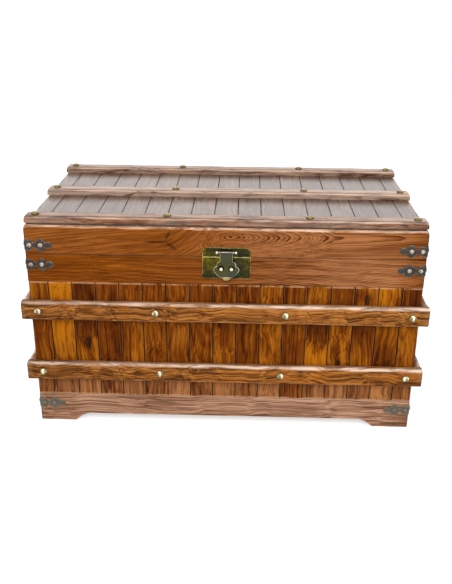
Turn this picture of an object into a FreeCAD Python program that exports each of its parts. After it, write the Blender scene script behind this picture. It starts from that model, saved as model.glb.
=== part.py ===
import FreeCAD
import Part
import Sketcher
import math
import os
from FreeCAD import Placement, Rotation, Vector

# A sea chest: a boarded base with a flat lid, slatted walls between a skirt and a top rail, nailed
# battens, lobed corner straps, a latch with a swinging hasp, two back hinges and two lifting handles.
# Frame: X along the length, Y from front to back, Z up. The origin is on the floor under the middle.

doc = FreeCAD.newDocument("SeaChest")
sheet = doc.addObject("Spreadsheet::Sheet", "Sizes")

sizes = (
    # boards
    ("bodyLength", 700, "length over the front boards"),
    ("bodyDepth", 380, "depth over the front and back boards"),
    ("boardThick", 15, "skirt, rail and lid boards"),
    ("plinthHeight", 59, "skirt boards"),
    ("slatHeight", 229, "walls between skirt and rail"),
    ("railHeight", 53, "top rails of the base"),
    ("footLength", 66, "flat under each corner foot"),
    ("footSlope", 29, "run of the slope from the foot up to the cut-out"),
    ("cutHeight", 16, "height of the skirt's cut-out"),
    ("cutRound", 40, "easing where the slope meets the cut-out"),
    ("edgeBevel", 1.5, "eased outer edges of the skirt"),
    # slats and what is behind them
    ("slatThick", 7, "slats of walls and lid"),
    ("slatPitch", 42, "one slat to the next"),
    ("endStripLeast", 25, "least width left for the strip at each end of a run"),
    ("slatGap", 0.4, "open joint between two slats"),
    ("slatVee", 1.4, "bevel that makes the V joint"),
    ("fitGap", 0.3, "play round panels let into a recess"),
    ("postSize", 18, "corner posts"),
    ("postDrop", 3, "top of the posts below the rim"),
    ("floorHeight", 54, "inside floor above the ground"),
    ("floorThick", 9, "bottom panel"),
    ("cleatSize", 12, "strips under the bottom panel"),
    # battens round the base
    ("bandHeight", 35, "battens round the base"),
    ("bandProud", 14, "how far they stand out"),
    ("bandRound", 5, "their rounded outer edges"),
    ("lowerBandRise", 37, "underside of the lower band above the skirt"),
    ("bandSpacing", 87.5, "clear height between the two bands"),
    # lid
    ("lidGap", 0.3, "seam between lid and base"),
    ("lidBoardHeight", 51.7, "rim boards of the lid"),
    ("lidArris", 5, "rounded top edge of the rim boards"),
    ("slatLedge", 4.5, "rim left outside the lid slats"),
    ("panelLedge", 10, "rim left outside the lid panel"),
    ("lidPanelThick", 6, "panel under the lid slats"),
    ("lidSlatProud", 3, "lid slats above the rim boards"),
    ("lidBattenWidth", 30, "battens across the lid"),
    ("lidBattenHeight", 12, "their thickness"),
    ("lidBattenInset", 4, "outer battens in from the front and back faces"),
    ("lidBattenShort", 1, "each batten end short of the body's end"),
    ("lidBattenRound", 4.5, "their rounded top edges"),
    # domed nails of the battens
    ("nailHead", 7.15, "head radius"),
    ("nailDome", 4.5, "head height"),
    ("nailShank", 1.2, "shank radius"),
    ("nailDepth", 10, "shank length"),
    ("bandNailEnd", 30, "end nails in from the band's end"),
    ("upperNailLeft", 123, "inner nail of the upper band left of the middle"),
    ("upperNailRight", 108.5, "inner nail of the upper band right of the middle"),
    ("lowerNailLeft", 118, "inner nail of the lower band left of the middle"),
    ("lowerNailRight", 104, "inner nail of the lower band right of the middle"),
    ("sideNailReach", 130, "nails of the end bands from the middle"),
    ("lidNailEnd", 18.5, "end nails in from the body's end"),
    ("lidNailLeft", 101, "inner nail left of the middle"),
    ("lidNailRight", 146, "inner nail right of the middle"),
    # corner straps and their nails
    ("strapThick", 1.2, "iron sheet"),
    ("strapHeight", 20, "square part at the corner"),
    ("strapSquare", 13, "its length along the wall"),
    ("strapWaist", 10, "height of the necks beside the lobe"),
    ("waistReach", 15.5, "first neck from the corner"),
    ("lobeRadius", 12.6, "forged lobe"),
    ("lobeReach", 28, "lobe centre from the corner"),
    ("lobeShoulder", 7.4, "shoulders of the lobe from its centre line"),
    ("neckReach", 37.9, "second neck from the corner"),
    ("tipRadius", 6.2, "small lobe at the tip"),
    ("tipReach", 42.2, "its centre from the corner"),
    ("lidStrapRise", 15.8, "strap centre above the lid's lower edge"),
    ("railStrapDrop", 20, "strap centre below the rim"),
    ("footStrapDrop", 20.5, "strap centre below the top of the skirt"),
    ("strapNailReach", 8.4, "first nail from the corner"),
    ("strapNailHead", 4.7, "head radius"),
    ("strapNailDome", 3, "head height"),
    ("strapNailDepth", 6, "shank length"),
    ("drillGap", 0.05, "a drilled hole over its shank or pin"),
    # latch
    ("latchShift", 2.7, "latch to the right of the middle, as it is nailed on"),
    ("latchWidth", 84.5, "both plates"),
    ("latchLidHeight", 17.2, "plate on the lid"),
    ("latchBaseHeight", 40, "plate on the base"),
    ("latchThick", 1.2, "plates and hasp"),
    ("latchCorner", 6.5, "cut top corners"),
    ("latchSlotHalf", 11.9, "half the slot in the lid plate above the pin"),
    ("latchSlotRise", 1.1, "the slot's lower edge above the pin"),
    ("latchSlotHeight", 4.8, "height of the slot"),
    ("latchPinRise", 9.3, "pin above the lid's lower edge"),
    ("latchPinRadius", 1, "pin"),
    ("latchBallRadius", 3, "ball ends of the pin"),
    ("knuckleRadius", 1.8, "rolled eye of the hasp"),
    ("eyePlay", 0.6, "play between the eye and each ear"),
    ("earThick", 1.6, "ears that hold the pin"),
    ("neckWidth", 23, "hasp neck"),
    ("haspGap", 0.8, "hasp off the lower plate"),
    ("neckLength", 16.8, "hasp neck below the pin"),
    ("shoulderReach", 17.6, "round shoulders from the middle"),
    ("shoulderDrop", 23, "their widest point below the pin"),
    ("shoulderRound", 3.6, "how far above and inside that point they start to turn"),
    ("armpitReach", 16.2, "notches above the wings, from the middle"),
    ("armpitDrop", 25.8, "notches above the wings, below the pin"),
    ("wingReach", 23, "round wings from the middle"),
    ("wingDrop", 32.2, "their widest point below the pin"),
    ("wingRound", 2.8, "how far they turn inwards above and below it"),
    ("cheekReach", 16, "lower corners from the middle"),
    ("cheekDrop", 43.5, "start of the lower corners below the pin"),
    ("chinReach", 9.5, "bottom corners from the middle"),
    ("chinDrop", 48, "bottom edge below the pin"),
    ("tongueRadius", 8, "round end of the finger tongue"),
    ("tongueTrim", 2, "its bend line below the middle of that round"),
    ("tongueLap", 1.2, "its bend above the bottom edge"),
    ("tongueTilt", 28, "how far the tongue is bent out, in degrees"),
    ("studReach", 9, "studs from the middle"),
    ("studDrop", 30.2, "studs below the pin"),
    ("studBall", 3.7, "round head"),
    ("studNeck", 2, "stem"),
    ("studStand", 3.2, "ball centre in front of the hasp"),
    ("ringSides", 8, "facets of small forged pieces"),
    ("studRing", 5.5, "sunk ring round each stud"),
    ("studRingDepth", 0.5, "its depth"),
    ("latchNailInset", 6, "plate pins in from the edges"),
    ("latchNailHead", 1.8, "head radius"),
    ("latchNailDome", 1, "head height"),
    ("latchNailShank", 0.8, "shank radius"),
    # back hinges
    ("hingeReach", 200, "hinge centre from the middle"),
    ("leafWidth", 60, "hinge length along the back"),
    ("leafHeight", 24, "leaf from the hinge line"),
    ("leafThick", 1.6, "leaf"),
    ("barrelRadius", 4, "hinge barrel"),
    ("barrelGap", 0.4, "play between knuckles and round the barrel"),
    ("barrelPin", 1.75, "hinge pin"),
    ("stopReach", 7, "stop nib from the hinge line"),
    ("stopThick", 2, "stop nib"),
    ("screwSpread", 20, "screws from the hinge centre"),
    ("screwHead", 3.4, "head radius"),
    ("screwDome", 1.8, "head height"),
    ("screwShank", 1.6, "shank radius"),
    ("screwDepth", 11, "shank length"),
    # lifting handles
    ("handleDrop", 18.5, "pivot below the upper band"),
    ("handlePlateThick", 2, "back plate"),
    ("handlePlateHalf", 47, "half its length"),
    ("handlePlateRise", 11, "half its height"),
    ("handlePlateCorner", 7, "its cut corners"),
    ("handleStand", 5.5, "pivot in front of the plate"),
    ("bailHalf", 42, "leg centres from the middle"),
    ("bailDrop", 52, "grip centre below the pivot"),
    ("bailRod", 3.5, "rod radius"),
    ("bailCorner", 14, "bends at the grip"),
    ("bailElbow", 5, "bends at the pivots"),
    ("lugThick", 5, "lugs of the plate"),
    ("lugRadius", 6, "lugs of the plate"),
    ("lugGap", 1.5, "lug short of the elbow"),
    ("handleScrewReach", 20, "plate screws from the middle"),
)

for row, (alias, value, meaning) in enumerate(sizes, 1):
    sheet.set(f"A{row}", meaning)
    sheet.set(f"B{row}", str(value))
    sheet.setAlias(f"B{row}", alias)
doc.recompute()

parts = []
walls = {"front": (1, -1), "back": (1, 1), "left": (0, -1), "right": (0, 1)}


def size(alias):
    """A size of the sheet as a plain number."""
    return float(getattr(sheet, alias))


def value(formula):
    """What a formula of the sheet's sizes comes to."""
    return float(sheet.evalExpression(formula))


def bind(thing, **formulas):
    """Tie properties of an object to formulas of the sheet's sizes."""
    for name, formula in formulas.items():
        thing.setExpression(name, formula)


def place(thing, point):
    """Tie the place of an object to three formulas."""
    for axis, formula in zip("xyz", point):
        thing.setExpression(f"Placement.Base.{axis}", formula)


def keep(thing, label):
    """Name a finished piece."""
    thing.Label = label
    parts.append(thing)
    return thing


def minus(formula):
    return f"-({formula})"


def span(low, high):
    return f"({high}) - ({low})"


# heights and half widths that several pieces share
halfLength = "(Sizes.bodyLength / 2)"
halfDepth = "(Sizes.bodyDepth / 2)"
insideLength = "(Sizes.bodyLength / 2 - Sizes.boardThick)"
insideDepth = "(Sizes.bodyDepth / 2 - Sizes.boardThick)"
slatBackLength = "(Sizes.bodyLength / 2 - Sizes.slatThick)"
slatBackDepth = "(Sizes.bodyDepth / 2 - Sizes.slatThick)"
slatTop = "(Sizes.plinthHeight + Sizes.slatHeight)"
baseTop = "(Sizes.plinthHeight + Sizes.slatHeight + Sizes.railHeight)"
lidLow = f"({baseTop} + Sizes.lidGap)"
lidBoardTop = f"({lidLow} + Sizes.lidBoardHeight)"
lidSlatTop = f"({lidBoardTop} + Sizes.lidSlatProud)"
lowerBandLow = "(Sizes.plinthHeight + Sizes.lowerBandRise)"
upperBandLow = f"({lowerBandLow} + Sizes.bandHeight + Sizes.bandSpacing)"
bandLength = "(Sizes.bodyLength / 2 + Sizes.bandProud)"
bandDepth = "(Sizes.bodyDepth / 2 + Sizes.bandProud)"


def box(name, low, high):
    """A block between two corners, each three formulas."""
    block = doc.addObject("Part::Box", name)
    bind(block, Length=span(low[0], high[0]), Width=span(low[1], high[1]), Height=span(low[2], high[2]))
    place(block, low)
    return block


def rod(name, start, axis, radius, length):
    """A round bar from a point along X, Y or Z."""
    bar = doc.addObject("Part::Cylinder", name)
    turns = {"X": Rotation(Vector(0, 1, 0), 90), "Y": Rotation(Vector(1, 0, 0), -90), "Z": Rotation()}
    bar.Placement = Placement(Vector(), turns[axis])
    bind(bar, Radius=radius, Height=length)
    place(bar, start)
    return bar


def facetRod(name, start, axis, radius, length):
    """A bar with flat facets from a point along X, Y or Z."""
    bar = doc.addObject("Part::Prism", name)
    turns = {"X": Rotation(Vector(0, 1, 0), 90), "Y": Rotation(Vector(1, 0, 0), -90), "Z": Rotation()}
    facing = Rotation(Vector(0, 0, 1), 180 / size("ringSides"))
    bar.Placement = Placement(Vector(), turns[axis] * facing)
    bind(bar, Polygon="Sizes.ringSides", Circumradius=radius, Height=length)
    place(bar, start)
    return bar


def fuse(name, pieces):
    whole = doc.addObject("Part::MultiFuse", name)
    whole.Shapes = pieces
    whole.Refine = True
    return whole


def cut(name, base, tool):
    rest = doc.addObject("Part::Cut", name)
    rest.Base = base
    rest.Tool = tool
    return rest


def group(name, pieces):
    bundle = doc.addObject("Part::Compound", name)
    bundle.Links = pieces
    return bundle


def mirrored(name, source, normal):
    """The piece seen in the middle plane across the given axis."""
    twin = doc.addObject("Part::Mirroring", name)
    twin.Source = source
    twin.Normal = normal
    return twin


def fourCorners(name, piece):
    """A corner piece and its three mirror images, as separate solids of one node."""
    right = mirrored(f"{name}Right", piece, Vector(1, 0, 0))
    back = mirrored(f"{name}Back", piece, Vector(0, 1, 0))
    far = mirrored(f"{name}Far", right, Vector(0, 1, 0))
    return group(name, [piece, right, back, far])


def originFeature(body, role):
    return [item for item in body.Origin.OriginFeatures if item.Role == role][0]


def polygon(body, name, plane, points):
    """A closed sketch of straight lines; each corner is a pair of formulas measured from the origin."""
    sketch = body.newObject("Sketcher::SketchObject", name)
    sketch.AttachmentSupport = [(originFeature(body, plane), "")]
    sketch.MapMode = "FlatFace"
    corners = [Vector(value(across), value(up), 0) for across, up in points]
    count = len(corners)
    for index in range(count):
        sketch.addGeometry(Part.LineSegment(corners[index], corners[(index + 1) % count]), False)
    for index in range(count):
        sketch.addConstraint(Sketcher.Constraint("Coincident", index, 2, (index + 1) % count, 1))
    for index, formulas in enumerate(points):
        for kind, formula, number in zip(("DistanceX", "DistanceY"), formulas, corners[index]):
            rule = sketch.addConstraint(Sketcher.Constraint(kind, -1, 1, index, 1, number))
            sketch.setExpression(f"Constraints[{rule}]", formula)
    return sketch


def edgesWhere(feature, test):
    """Names of the edges whose middle point and direction pass the test."""
    names = []
    for number, edge in enumerate(feature.Shape.Edges, 1):
        middle = edge.valueAt((edge.FirstParameter + edge.LastParameter) / 2)
        if test(middle, edge):
            names.append(f"Edge{number}")
    return names


def rounded(body, base, name, kind, amount, test):
    """A fillet or chamfer on the edges that pass the test."""
    doc.recompute()
    finish = body.newObject(f"PartDesign::{kind}", name)
    finish.Base = (base, edgesWhere(base, test))
    bind(finish, **{"Radius" if kind == "Fillet" else "Size": amount})
    body.Tip = finish
    return finish


def blockBody(label, low, high):
    """A body that starts as a block, standing at its low corner."""
    body = doc.addObject("PartDesign::Body", f"{label}Body")
    place(body, low)
    block = body.newObject("PartDesign::AdditiveBox", f"{label}Block")
    bind(block, Length=span(low[0], high[0]), Width=span(low[1], high[1]), Height=span(low[2], high[2]))
    return body, block


def pocketBox(body, name, low, high):
    """A rectangular recess, in the body's own coordinates."""
    recess = body.newObject("PartDesign::SubtractiveBox", name)
    bind(recess, Length=span(low[0], high[0]), Width=span(low[1], high[1]), Height=span(low[2], high[2]))
    place(recess, low)
    body.Tip = recess
    return recess


def near(first, second):
    return abs(first - second) < 0.001


def outerFace(block, wall):
    """A test for points on the face of a block that looks out of the chest."""
    axis, side = walls[wall]
    reach = (block.Length.Value, block.Width.Value)[axis] if side > 0 else 0
    return lambda point: near(point[axis], reach)


def wallBox(wall, low, high, thickness, halfX=halfLength, halfY=halfDepth):
    """Corners of a board of one wall: front and back run full length, the ends sit between them."""
    axis, side = walls[wall]
    if axis == 1:
        across = (minus(halfX), halfX)
        through = (f"{halfY} - ({thickness})", halfY)
    else:
        across = (minus(f"{halfY} - ({thickness})"), f"{halfY} - ({thickness})")
        through = (f"{halfX} - ({thickness})", halfX)
    if side < 0:
        through = (minus(through[1]), minus(through[0]))
    pairs = (across, through) if axis == 1 else (through, across)
    return (pairs[0][0], pairs[1][0], low), (pairs[0][1], pairs[1][1], high)


# ---------------------------------------------------------------- base boards
def plinthBoard(wall):
    """Skirt board: an outline with a foot at each end and an eased cut-out between them."""
    axis, side = walls[wall]
    endwise = axis == 0
    label = f"plinth_{wall}"
    halfRun = insideDepth if endwise else halfLength
    cornerRun = halfDepth if endwise else halfLength
    foot = f"{cornerRun} - Sizes.footLength"
    slope = f"{foot} - Sizes.footSlope"
    points = (
        (minus(halfRun), "0"),
        (minus(foot), "0"),
        (minus(slope), "Sizes.cutHeight"),
        (slope, "Sizes.cutHeight"),
        (foot, "0"),
        (halfRun, "0"),
        (halfRun, "Sizes.plinthHeight"),
        (minus(halfRun), "Sizes.plinthHeight"),
    )
    body = doc.addObject("PartDesign::Body", f"{label}Body")
    sketch = polygon(body, f"{label}Outline", "XZ_Plane", points)
    pad = body.newObject("PartDesign::Pad", f"{label}Pad")
    pad.Profile = sketch
    bind(pad, Length="Sizes.boardThick")
    doc.recompute()
    slopeEnd = value(slope)
    cutTop = size("cutHeight")
    eased = rounded(
        body, pad, f"{label}Ease", "Fillet", "Sizes.cutRound",
        lambda point, edge: near(abs(point.x), slopeEnd) and near(point.z, cutTop),
    )
    # the pad grows towards -Y, so its outer face is the one furthest that way
    outer = -size("boardThick")
    top = size("plinthHeight")
    rounded(
        body, eased, f"{label}Bevel", "Chamfer", "Sizes.edgeBevel",
        lambda point, edge: near(point.y, outer) and near(point.z, top),
    )
    turns = {"front": 0, "right": 90, "back": 180, "left": -90}
    body.Placement = Placement(Vector(), Rotation(Vector(0, 0, 1), turns[wall]))
    inner = insideLength if endwise else insideDepth
    bind(body, **{f"Placement.Base.{'xy'[axis]}": inner if side > 0 else minus(inner)})
    keep(body, label)


for wall in walls:
    plinthBoard(wall)
    keep(box(f"rail{wall}", *wallBox(wall, slatTop, baseTop, "Sizes.boardThick")), f"rail_{wall}")
    behind = "Sizes.boardThick - Sizes.slatThick"
    panel = wallBox(wall, "Sizes.plinthHeight", slatTop, behind, slatBackLength, slatBackDepth)
    keep(box(f"panel{wall}", *panel), f"panel_{wall}")

postLow = "(Sizes.floorHeight - Sizes.floorThick - Sizes.cleatSize)"
post = box(
    "post",
    (minus(insideLength), minus(insideDepth), postLow),
    (f"Sizes.postSize - {insideLength}", f"Sizes.postSize - {insideDepth}", f"{baseTop} - Sizes.postDrop"),
)
keep(fourCorners("posts", post), "corner_posts")

cleatTop = "(Sizes.floorHeight - Sizes.floorThick)"
cleatRunX = f"({insideLength} - Sizes.postSize)"
cleatRunY = f"({insideDepth} - Sizes.postSize)"
frontCleat = box(
    "frontCleat",
    (minus(cleatRunX), minus(insideDepth), postLow),
    (cleatRunX, f"Sizes.cleatSize - {insideDepth}", cleatTop),
)
leftCleat = box(
    "leftCleat",
    (minus(insideLength), minus(cleatRunY), postLow),
    (f"Sizes.cleatSize - {insideLength}", cleatRunY, cleatTop),
)
backCleat = mirrored("backCleat", frontCleat, Vector(0, 1, 0))
rightCleat = mirrored("rightCleat", leftCleat, Vector(1, 0, 0))
keep(group("cleats", [frontCleat, backCleat, leftCleat, rightCleat]), "bottom_cleats")

floorSheet = box(
    "floorSheet",
    (f"Sizes.fitGap - {insideLength}", f"Sizes.fitGap - {insideDepth}", cleatTop),
    (f"{insideLength} - Sizes.fitGap", f"{insideDepth} - Sizes.fitGap", "Sizes.floorHeight"),
)
notch = box(
    "notch",
    (minus(halfLength), minus(halfDepth), postLow),
    (
        f"Sizes.postSize + Sizes.fitGap - {insideLength}",
        f"Sizes.postSize + Sizes.fitGap - {insideDepth}",
        f"Sizes.floorHeight + Sizes.fitGap",
    ),
)
keep(cut("floor", floorSheet, fourCorners("notches", notch)), "bottom_panel")


# ---------------------------------------------------------------- slats
def slatRun(label, halfRun, outer, length):
    """Slats side by side along X with their faces towards -Y: as many bevelled strips of one pitch as
    the run holds, and an end strip at each side that takes up what is left."""
    body = doc.addObject("PartDesign::Body", f"{label}Body")
    body.AllowCompound = True
    inner = f"Sizes.slatThick - ({outer})"
    face = minus(outer)
    bevel = f"Sizes.slatVee - ({outer})"
    count = f"floor(2 * ({halfRun} - Sizes.endStripLeast) / Sizes.slatPitch)"
    halfMiddle = f"{count} * Sizes.slatPitch / 2"

    def strip(name, low, high):
        points = (
            (low, inner),
            (low, bevel),
            (f"{low} + Sizes.slatVee", face),
            (f"{high} - Sizes.slatVee", face),
            (high, bevel),
            (high, inner),
        )
        pad = body.newObject("PartDesign::Pad", f"{label}{name}")
        pad.Profile = polygon(body, f"{label}{name}Section", "XY_Plane", points)
        bind(pad, Length=length)
        return pad

    halfGap = "Sizes.slatGap / 2"
    strip("Left", minus(halfRun), f"-({halfMiddle}) - {halfGap}")
    strip("Right", f"{halfMiddle} + {halfGap}", halfRun)
    first = strip(
        "Middle", f"-({halfMiddle}) + {halfGap}", f"-({halfMiddle}) + Sizes.slatPitch - {halfGap}"
    )
    row = body.newObject("PartDesign::LinearPattern", f"{label}Row")
    row.Originals = [first]
    row.Direction = (originFeature(body, "X_Axis"), [""])
    bind(row, Length=f"({count} - 1) * Sizes.slatPitch", Occurrences=count)
    body.Tip = row
    return keep(body, label)


for wall, turn in (("front", 0), ("right", 90), ("back", 180), ("left", -90)):
    if walls[wall][0] == 1:
        run = slatRun(f"slats_{wall}", halfLength, halfDepth, "Sizes.slatHeight")
    else:
        run = slatRun(f"slats_{wall}", slatBackDepth, halfLength, "Sizes.slatHeight")
    run.Placement = Placement(Vector(), Rotation(Vector(0, 0, 1), turn))
    bind(run, **{"Placement.Base.z": "Sizes.plinthHeight"})


# ---------------------------------------------------------------- bands round the base
def band(level, low, wall):
    label = f"batten_{level}_{wall}"
    corners = wallBox(wall, low, f"{low} + Sizes.bandHeight", "Sizes.bandProud", bandLength, bandDepth)
    body, block = blockBody(label, *corners)
    doc.recompute()
    onFace = outerFace(block, wall)
    middle = size("bandHeight") / 2
    rounded(
        body, block, f"{label}Round", "Fillet", "Sizes.bandRound",
        lambda point, edge: onFace(point) and not near(point.z, middle),
    )
    keep(body, label)


for level, low in (("upper", upperBandLow), ("lower", lowerBandLow)):
    for wall in walls:
        band(level, low, wall)


# ---------------------------------------------------------------- lid
def lidBoard(wall):
    """Rim board: rounded along its outer top edge, and stepped inside for the slats and the panel."""
    label = f"lid_{wall}_board"
    axis, side = walls[wall]
    corners = wallBox(wall, lidLow, lidBoardTop, "Sizes.boardThick")
    body, block = blockBody(label, *corners)
    doc.recompute()
    onFace = outerFace(block, wall)
    top = size("lidBoardHeight")
    run = block.Length.Value

    def outerTop(point, edge):
        atEnd = axis == 1 and (near(point.x, 0) or near(point.x, run))
        return near(point.z, top) and (onFace(point) or atEnd)

    rounded(body, block, f"{label}Arris", "Fillet", "Sizes.lidArris", outerTop)
    boardRun = span(corners[0][1 - axis], corners[1][1 - axis])
    slatSeat = "(Sizes.lidBoardHeight + Sizes.lidSlatProud - Sizes.slatThick)"
    panelSeat = f"({slatSeat} - Sizes.lidPanelThick)"
    for name, ledge, seat, over in (
        ("SlatSeat", "Sizes.slatLedge", slatSeat, "Sizes.lidBoardHeight + 1"),
        ("PanelSeat", "Sizes.panelLedge", panelSeat, slatSeat),
    ):
        along = (ledge, f"{boardRun} - {ledge}") if axis == 1 else ("-1", f"{boardRun} + 1")
        through = (ledge, "Sizes.boardThick + 1") if side < 0 else ("-1", f"Sizes.boardThick - {ledge}")
        pairs = (along, through) if axis == 1 else (through, along)
        low = (pairs[0][0], pairs[1][0], seat)
        high = (pairs[0][1], pairs[1][1], over)
        pocketBox(body, f"{label}{name}", low, high)
    keep(body, label)


for wall in walls:
    lidBoard(wall)

lidPanelTop = f"({lidSlatTop} - Sizes.slatThick)"
lidPanelX = f"({halfLength} - Sizes.panelLedge - Sizes.fitGap)"
lidPanelY = f"({halfDepth} - Sizes.panelLedge - Sizes.fitGap)"
lidPanel = box(
    "lidPanel",
    (minus(lidPanelX), minus(lidPanelY), f"{lidPanelTop} - Sizes.lidPanelThick"),
    (lidPanelX, lidPanelY, lidPanelTop),
)
keep(lidPanel, "lid_panel")

# the run of lid slats is made like a wall and laid on its back: its faces look up
lidSlatHalfX = f"({halfLength} - Sizes.slatLedge - Sizes.fitGap)"
lidSlatHalfY = f"({halfDepth} - Sizes.slatLedge - Sizes.fitGap)"
lidSlats = slatRun("lid_slats", lidSlatHalfX, lidSlatTop, f"2 * {lidSlatHalfY}")
lidSlats.Placement = Placement(Vector(), Rotation(Vector(1, 0, 0), -90))
bind(lidSlats, **{"Placement.Base.y": minus(lidSlatHalfY)})

lidBattenHalf = f"({halfLength} - Sizes.lidBattenShort)"
outerBatten = f"({halfDepth} - Sizes.lidBattenInset - Sizes.lidBattenWidth / 2)"
lidBattens = {"front": minus(outerBatten), "middle": "0", "back": outerBatten}


def lidBatten(name, centre):
    """Batten across the lid, with its long top edges and its end top edges rounded."""
    label = f"lid_batten_{name}"
    low = (minus(lidBattenHalf), f"{centre} - Sizes.lidBattenWidth / 2", lidSlatTop)
    high = (lidBattenHalf, f"{centre} + Sizes.lidBattenWidth / 2", f"{lidSlatTop} + Sizes.lidBattenHeight")
    body, block = blockBody(label, low, high)
    top = size("lidBattenHeight")
    rounded(
        body, block, f"{label}Round", "Fillet", "Sizes.lidBattenRound",
        lambda point, edge: near(point.z, top),
    )
    keep(body, label)


for name, centre in lidBattens.items():
    lidBatten(name, centre)


# ---------------------------------------------------------------- nails and screws
def shaped(label, shape):
    """A piece whose shape is worked out here from the sheet's sizes."""
    feature = doc.addObject("Part::Feature", label)
    feature.Shape = shape
    return keep(feature, label)


def turned(outline, sides):
    """A solid round the Z axis with flat facets. The outline gives radius and height of each ring, from
    the lowest to the highest, and both ends are closed flat."""
    rings = []
    for radius, height in outline:
        angles = [2 * math.pi * (step + 0.5) / sides for step in range(sides)]
        rings.append([Vector(radius * math.cos(turn), radius * math.sin(turn), height) for turn in angles])
    faces = [Part.Face(Part.makePolygon(ring + ring[:1])) for ring in (rings[0], rings[-1])]
    for low, high in zip(rings, rings[1:]):
        for step in range(sides):
            after = (step + 1) % sides
            corners = [low[step], low[after], high[after], high[step]]
            faces.append(Part.Face(Part.makePolygon(corners + corners[:1])))
    solid = Part.makeSolid(Part.makeShell(faces))
    if solid.Volume < 0:
        solid.reverse()
    return solid


def domed(head, dome, shank, depth, outline, sides):
    """A domed head on the plane z = 0 with its crown up, over a square shank that points down. The
    outline gives the rings of the head as parts of its radius and of its height."""
    cap = turned([(head * across, dome * up) for across, up in outline], sides)
    return cap.fuse(turned(((shank, -depth), (shank, 0)), 4)).removeSplitter()


def scatter(label, shape, places):
    """One separate solid for each place: a point, and the direction that the head looks."""
    solids = []
    for point, direction in places:
        copy = shape.copy()
        copy.Placement = Placement(Vector(*point), Rotation(Vector(0, 0, 1), Vector(*direction)))
        solids.append(copy)
    return shaped(label, Part.makeCompound(solids))


roundDome = ((1, 0), (0.5, 1))
lowDome = ((1, 0), (0.45, 1))
ringSides = int(size("ringSides"))
largeNail = domed(
    size("nailHead"), size("nailDome"), size("nailShank"), size("nailDepth"), roundDome, ringSides
)
strapNail = domed(
    size("strapNailHead"), size("strapNailDome"), size("nailShank"), size("strapNailDepth"), lowDome, 6
)
latchNail = domed(
    size("latchNailHead"), size("latchNailDome"), size("latchNailShank"), size("strapNailDepth"), lowDome, 6
)
screw = domed(size("screwHead"), size("screwDome"), size("screwShank"), size("screwDepth"), lowDome, 6)

bandEnd = value(bandLength) - size("bandNailEnd")
bandNails = []
for level, low in (("upper", upperBandLow), ("lower", lowerBandLow)):
    height = value(low) + size("bandHeight") / 2
    bandNailX = (-bandEnd, -size(f"{level}NailLeft"), size(f"{level}NailRight"), bandEnd)
    for side in (-1, 1):
        for across in bandNailX:
            bandNails.append(((across, side * value(bandDepth), height), (0, side, 0)))
        for across in (-size("sideNailReach"), size("sideNailReach")):
            bandNails.append(((side * value(bandLength), across, height), (side, 0, 0)))
scatter("base_batten_nails", largeNail, bandNails)

lidEnd = value(halfLength) - size("lidNailEnd")
lidNailX = (-lidEnd, -size("lidNailLeft"), size("lidNailRight"), lidEnd)
lidNailZ = value(lidSlatTop) + size("lidBattenHeight")
lidNails = [((x, value(y), lidNailZ), (0, 0, 1)) for y in lidBattens.values() for x in lidNailX]
scatter("lid_batten_nails", largeNail, lidNails)


# ---------------------------------------------------------------- corner straps
strapLevels = {
    "lid": f"({lidLow} + Sizes.lidStrapRise)",
    "rail": f"({baseTop} - Sizes.railStrapDrop)",
    "plinth": "(Sizes.plinthHeight - Sizes.footStrapDrop)",
}


def strapWing(name, level, axis):
    """One wing along X on the front face, or along Y on the left face: a square part at the corner,
    a waist, a forged lobe, a second neck and a small lobe at the tip, drawn from the corner outwards."""
    reach = {"X": halfLength, "Y": halfDepth}[axis]
    shoulder = "Sizes.lobeRadius * 0.78"
    half = (
        (minus("Sizes.strapThick"), "Sizes.strapHeight / 2"),
        ("Sizes.strapSquare", "Sizes.strapHeight / 2"),
        ("Sizes.waistReach", "Sizes.strapWaist / 2"),
        ("Sizes.lobeReach - Sizes.lobeShoulder", shoulder),
        ("Sizes.lobeReach", "Sizes.lobeRadius"),
        ("Sizes.lobeReach + Sizes.lobeShoulder", shoulder),
        ("Sizes.neckReach", "Sizes.strapWaist * 0.45"),
        ("Sizes.tipReach", "Sizes.tipRadius"),
        ("Sizes.tipReach + Sizes.tipRadius * cos(30)", "Sizes.tipRadius / 2"),
    )
    points = [(f"{along} - {reach}", f"{level} + {up}") for along, up in half]
    points += [(f"{along} - {reach}", f"{level} - {up}") for along, up in half[::-1]]
    body = doc.addObject("PartDesign::Body", name)
    plane = {"X": "XZ_Plane", "Y": "YZ_Plane"}[axis]
    pad = body.newObject("PartDesign::Pad", f"{name}Pad")
    pad.Profile = polygon(body, f"{name}Outline", plane, points)
    bind(pad, Length="Sizes.strapThick")
    if axis == "X":
        bind(body, **{"Placement.Base.y": minus(halfDepth)})
    else:
        bind(body, **{"Placement.Base.x": f"-{halfLength} - Sizes.strapThick"})
    return body


def strapDrills(name, level, axis):
    """Square nail holes of one wing."""
    reach = {"X": halfLength, "Y": halfDepth}[axis]
    face = {"X": halfDepth, "Y": halfLength}[axis]
    halfHole = "(Sizes.nailShank * cos(45) + Sizes.drillGap)"
    through = (f"-{face} - 2 * Sizes.strapThick", f"Sizes.strapThick - {face}")
    holes = []
    for index, where in enumerate(("Sizes.strapNailReach", "Sizes.lobeReach")):
        along = (f"{where} - {reach} - {halfHole}", f"{where} - {reach} + {halfHole}")
        pairs = (along, through) if axis == "X" else (through, along)
        low = (pairs[0][0], pairs[1][0], f"{level} - {halfHole}")
        high = (pairs[0][1], pairs[1][1], f"{level} + {halfHole}")
        holes.append(box(f"{name}Hole{index}", low, high))
    return holes


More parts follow.
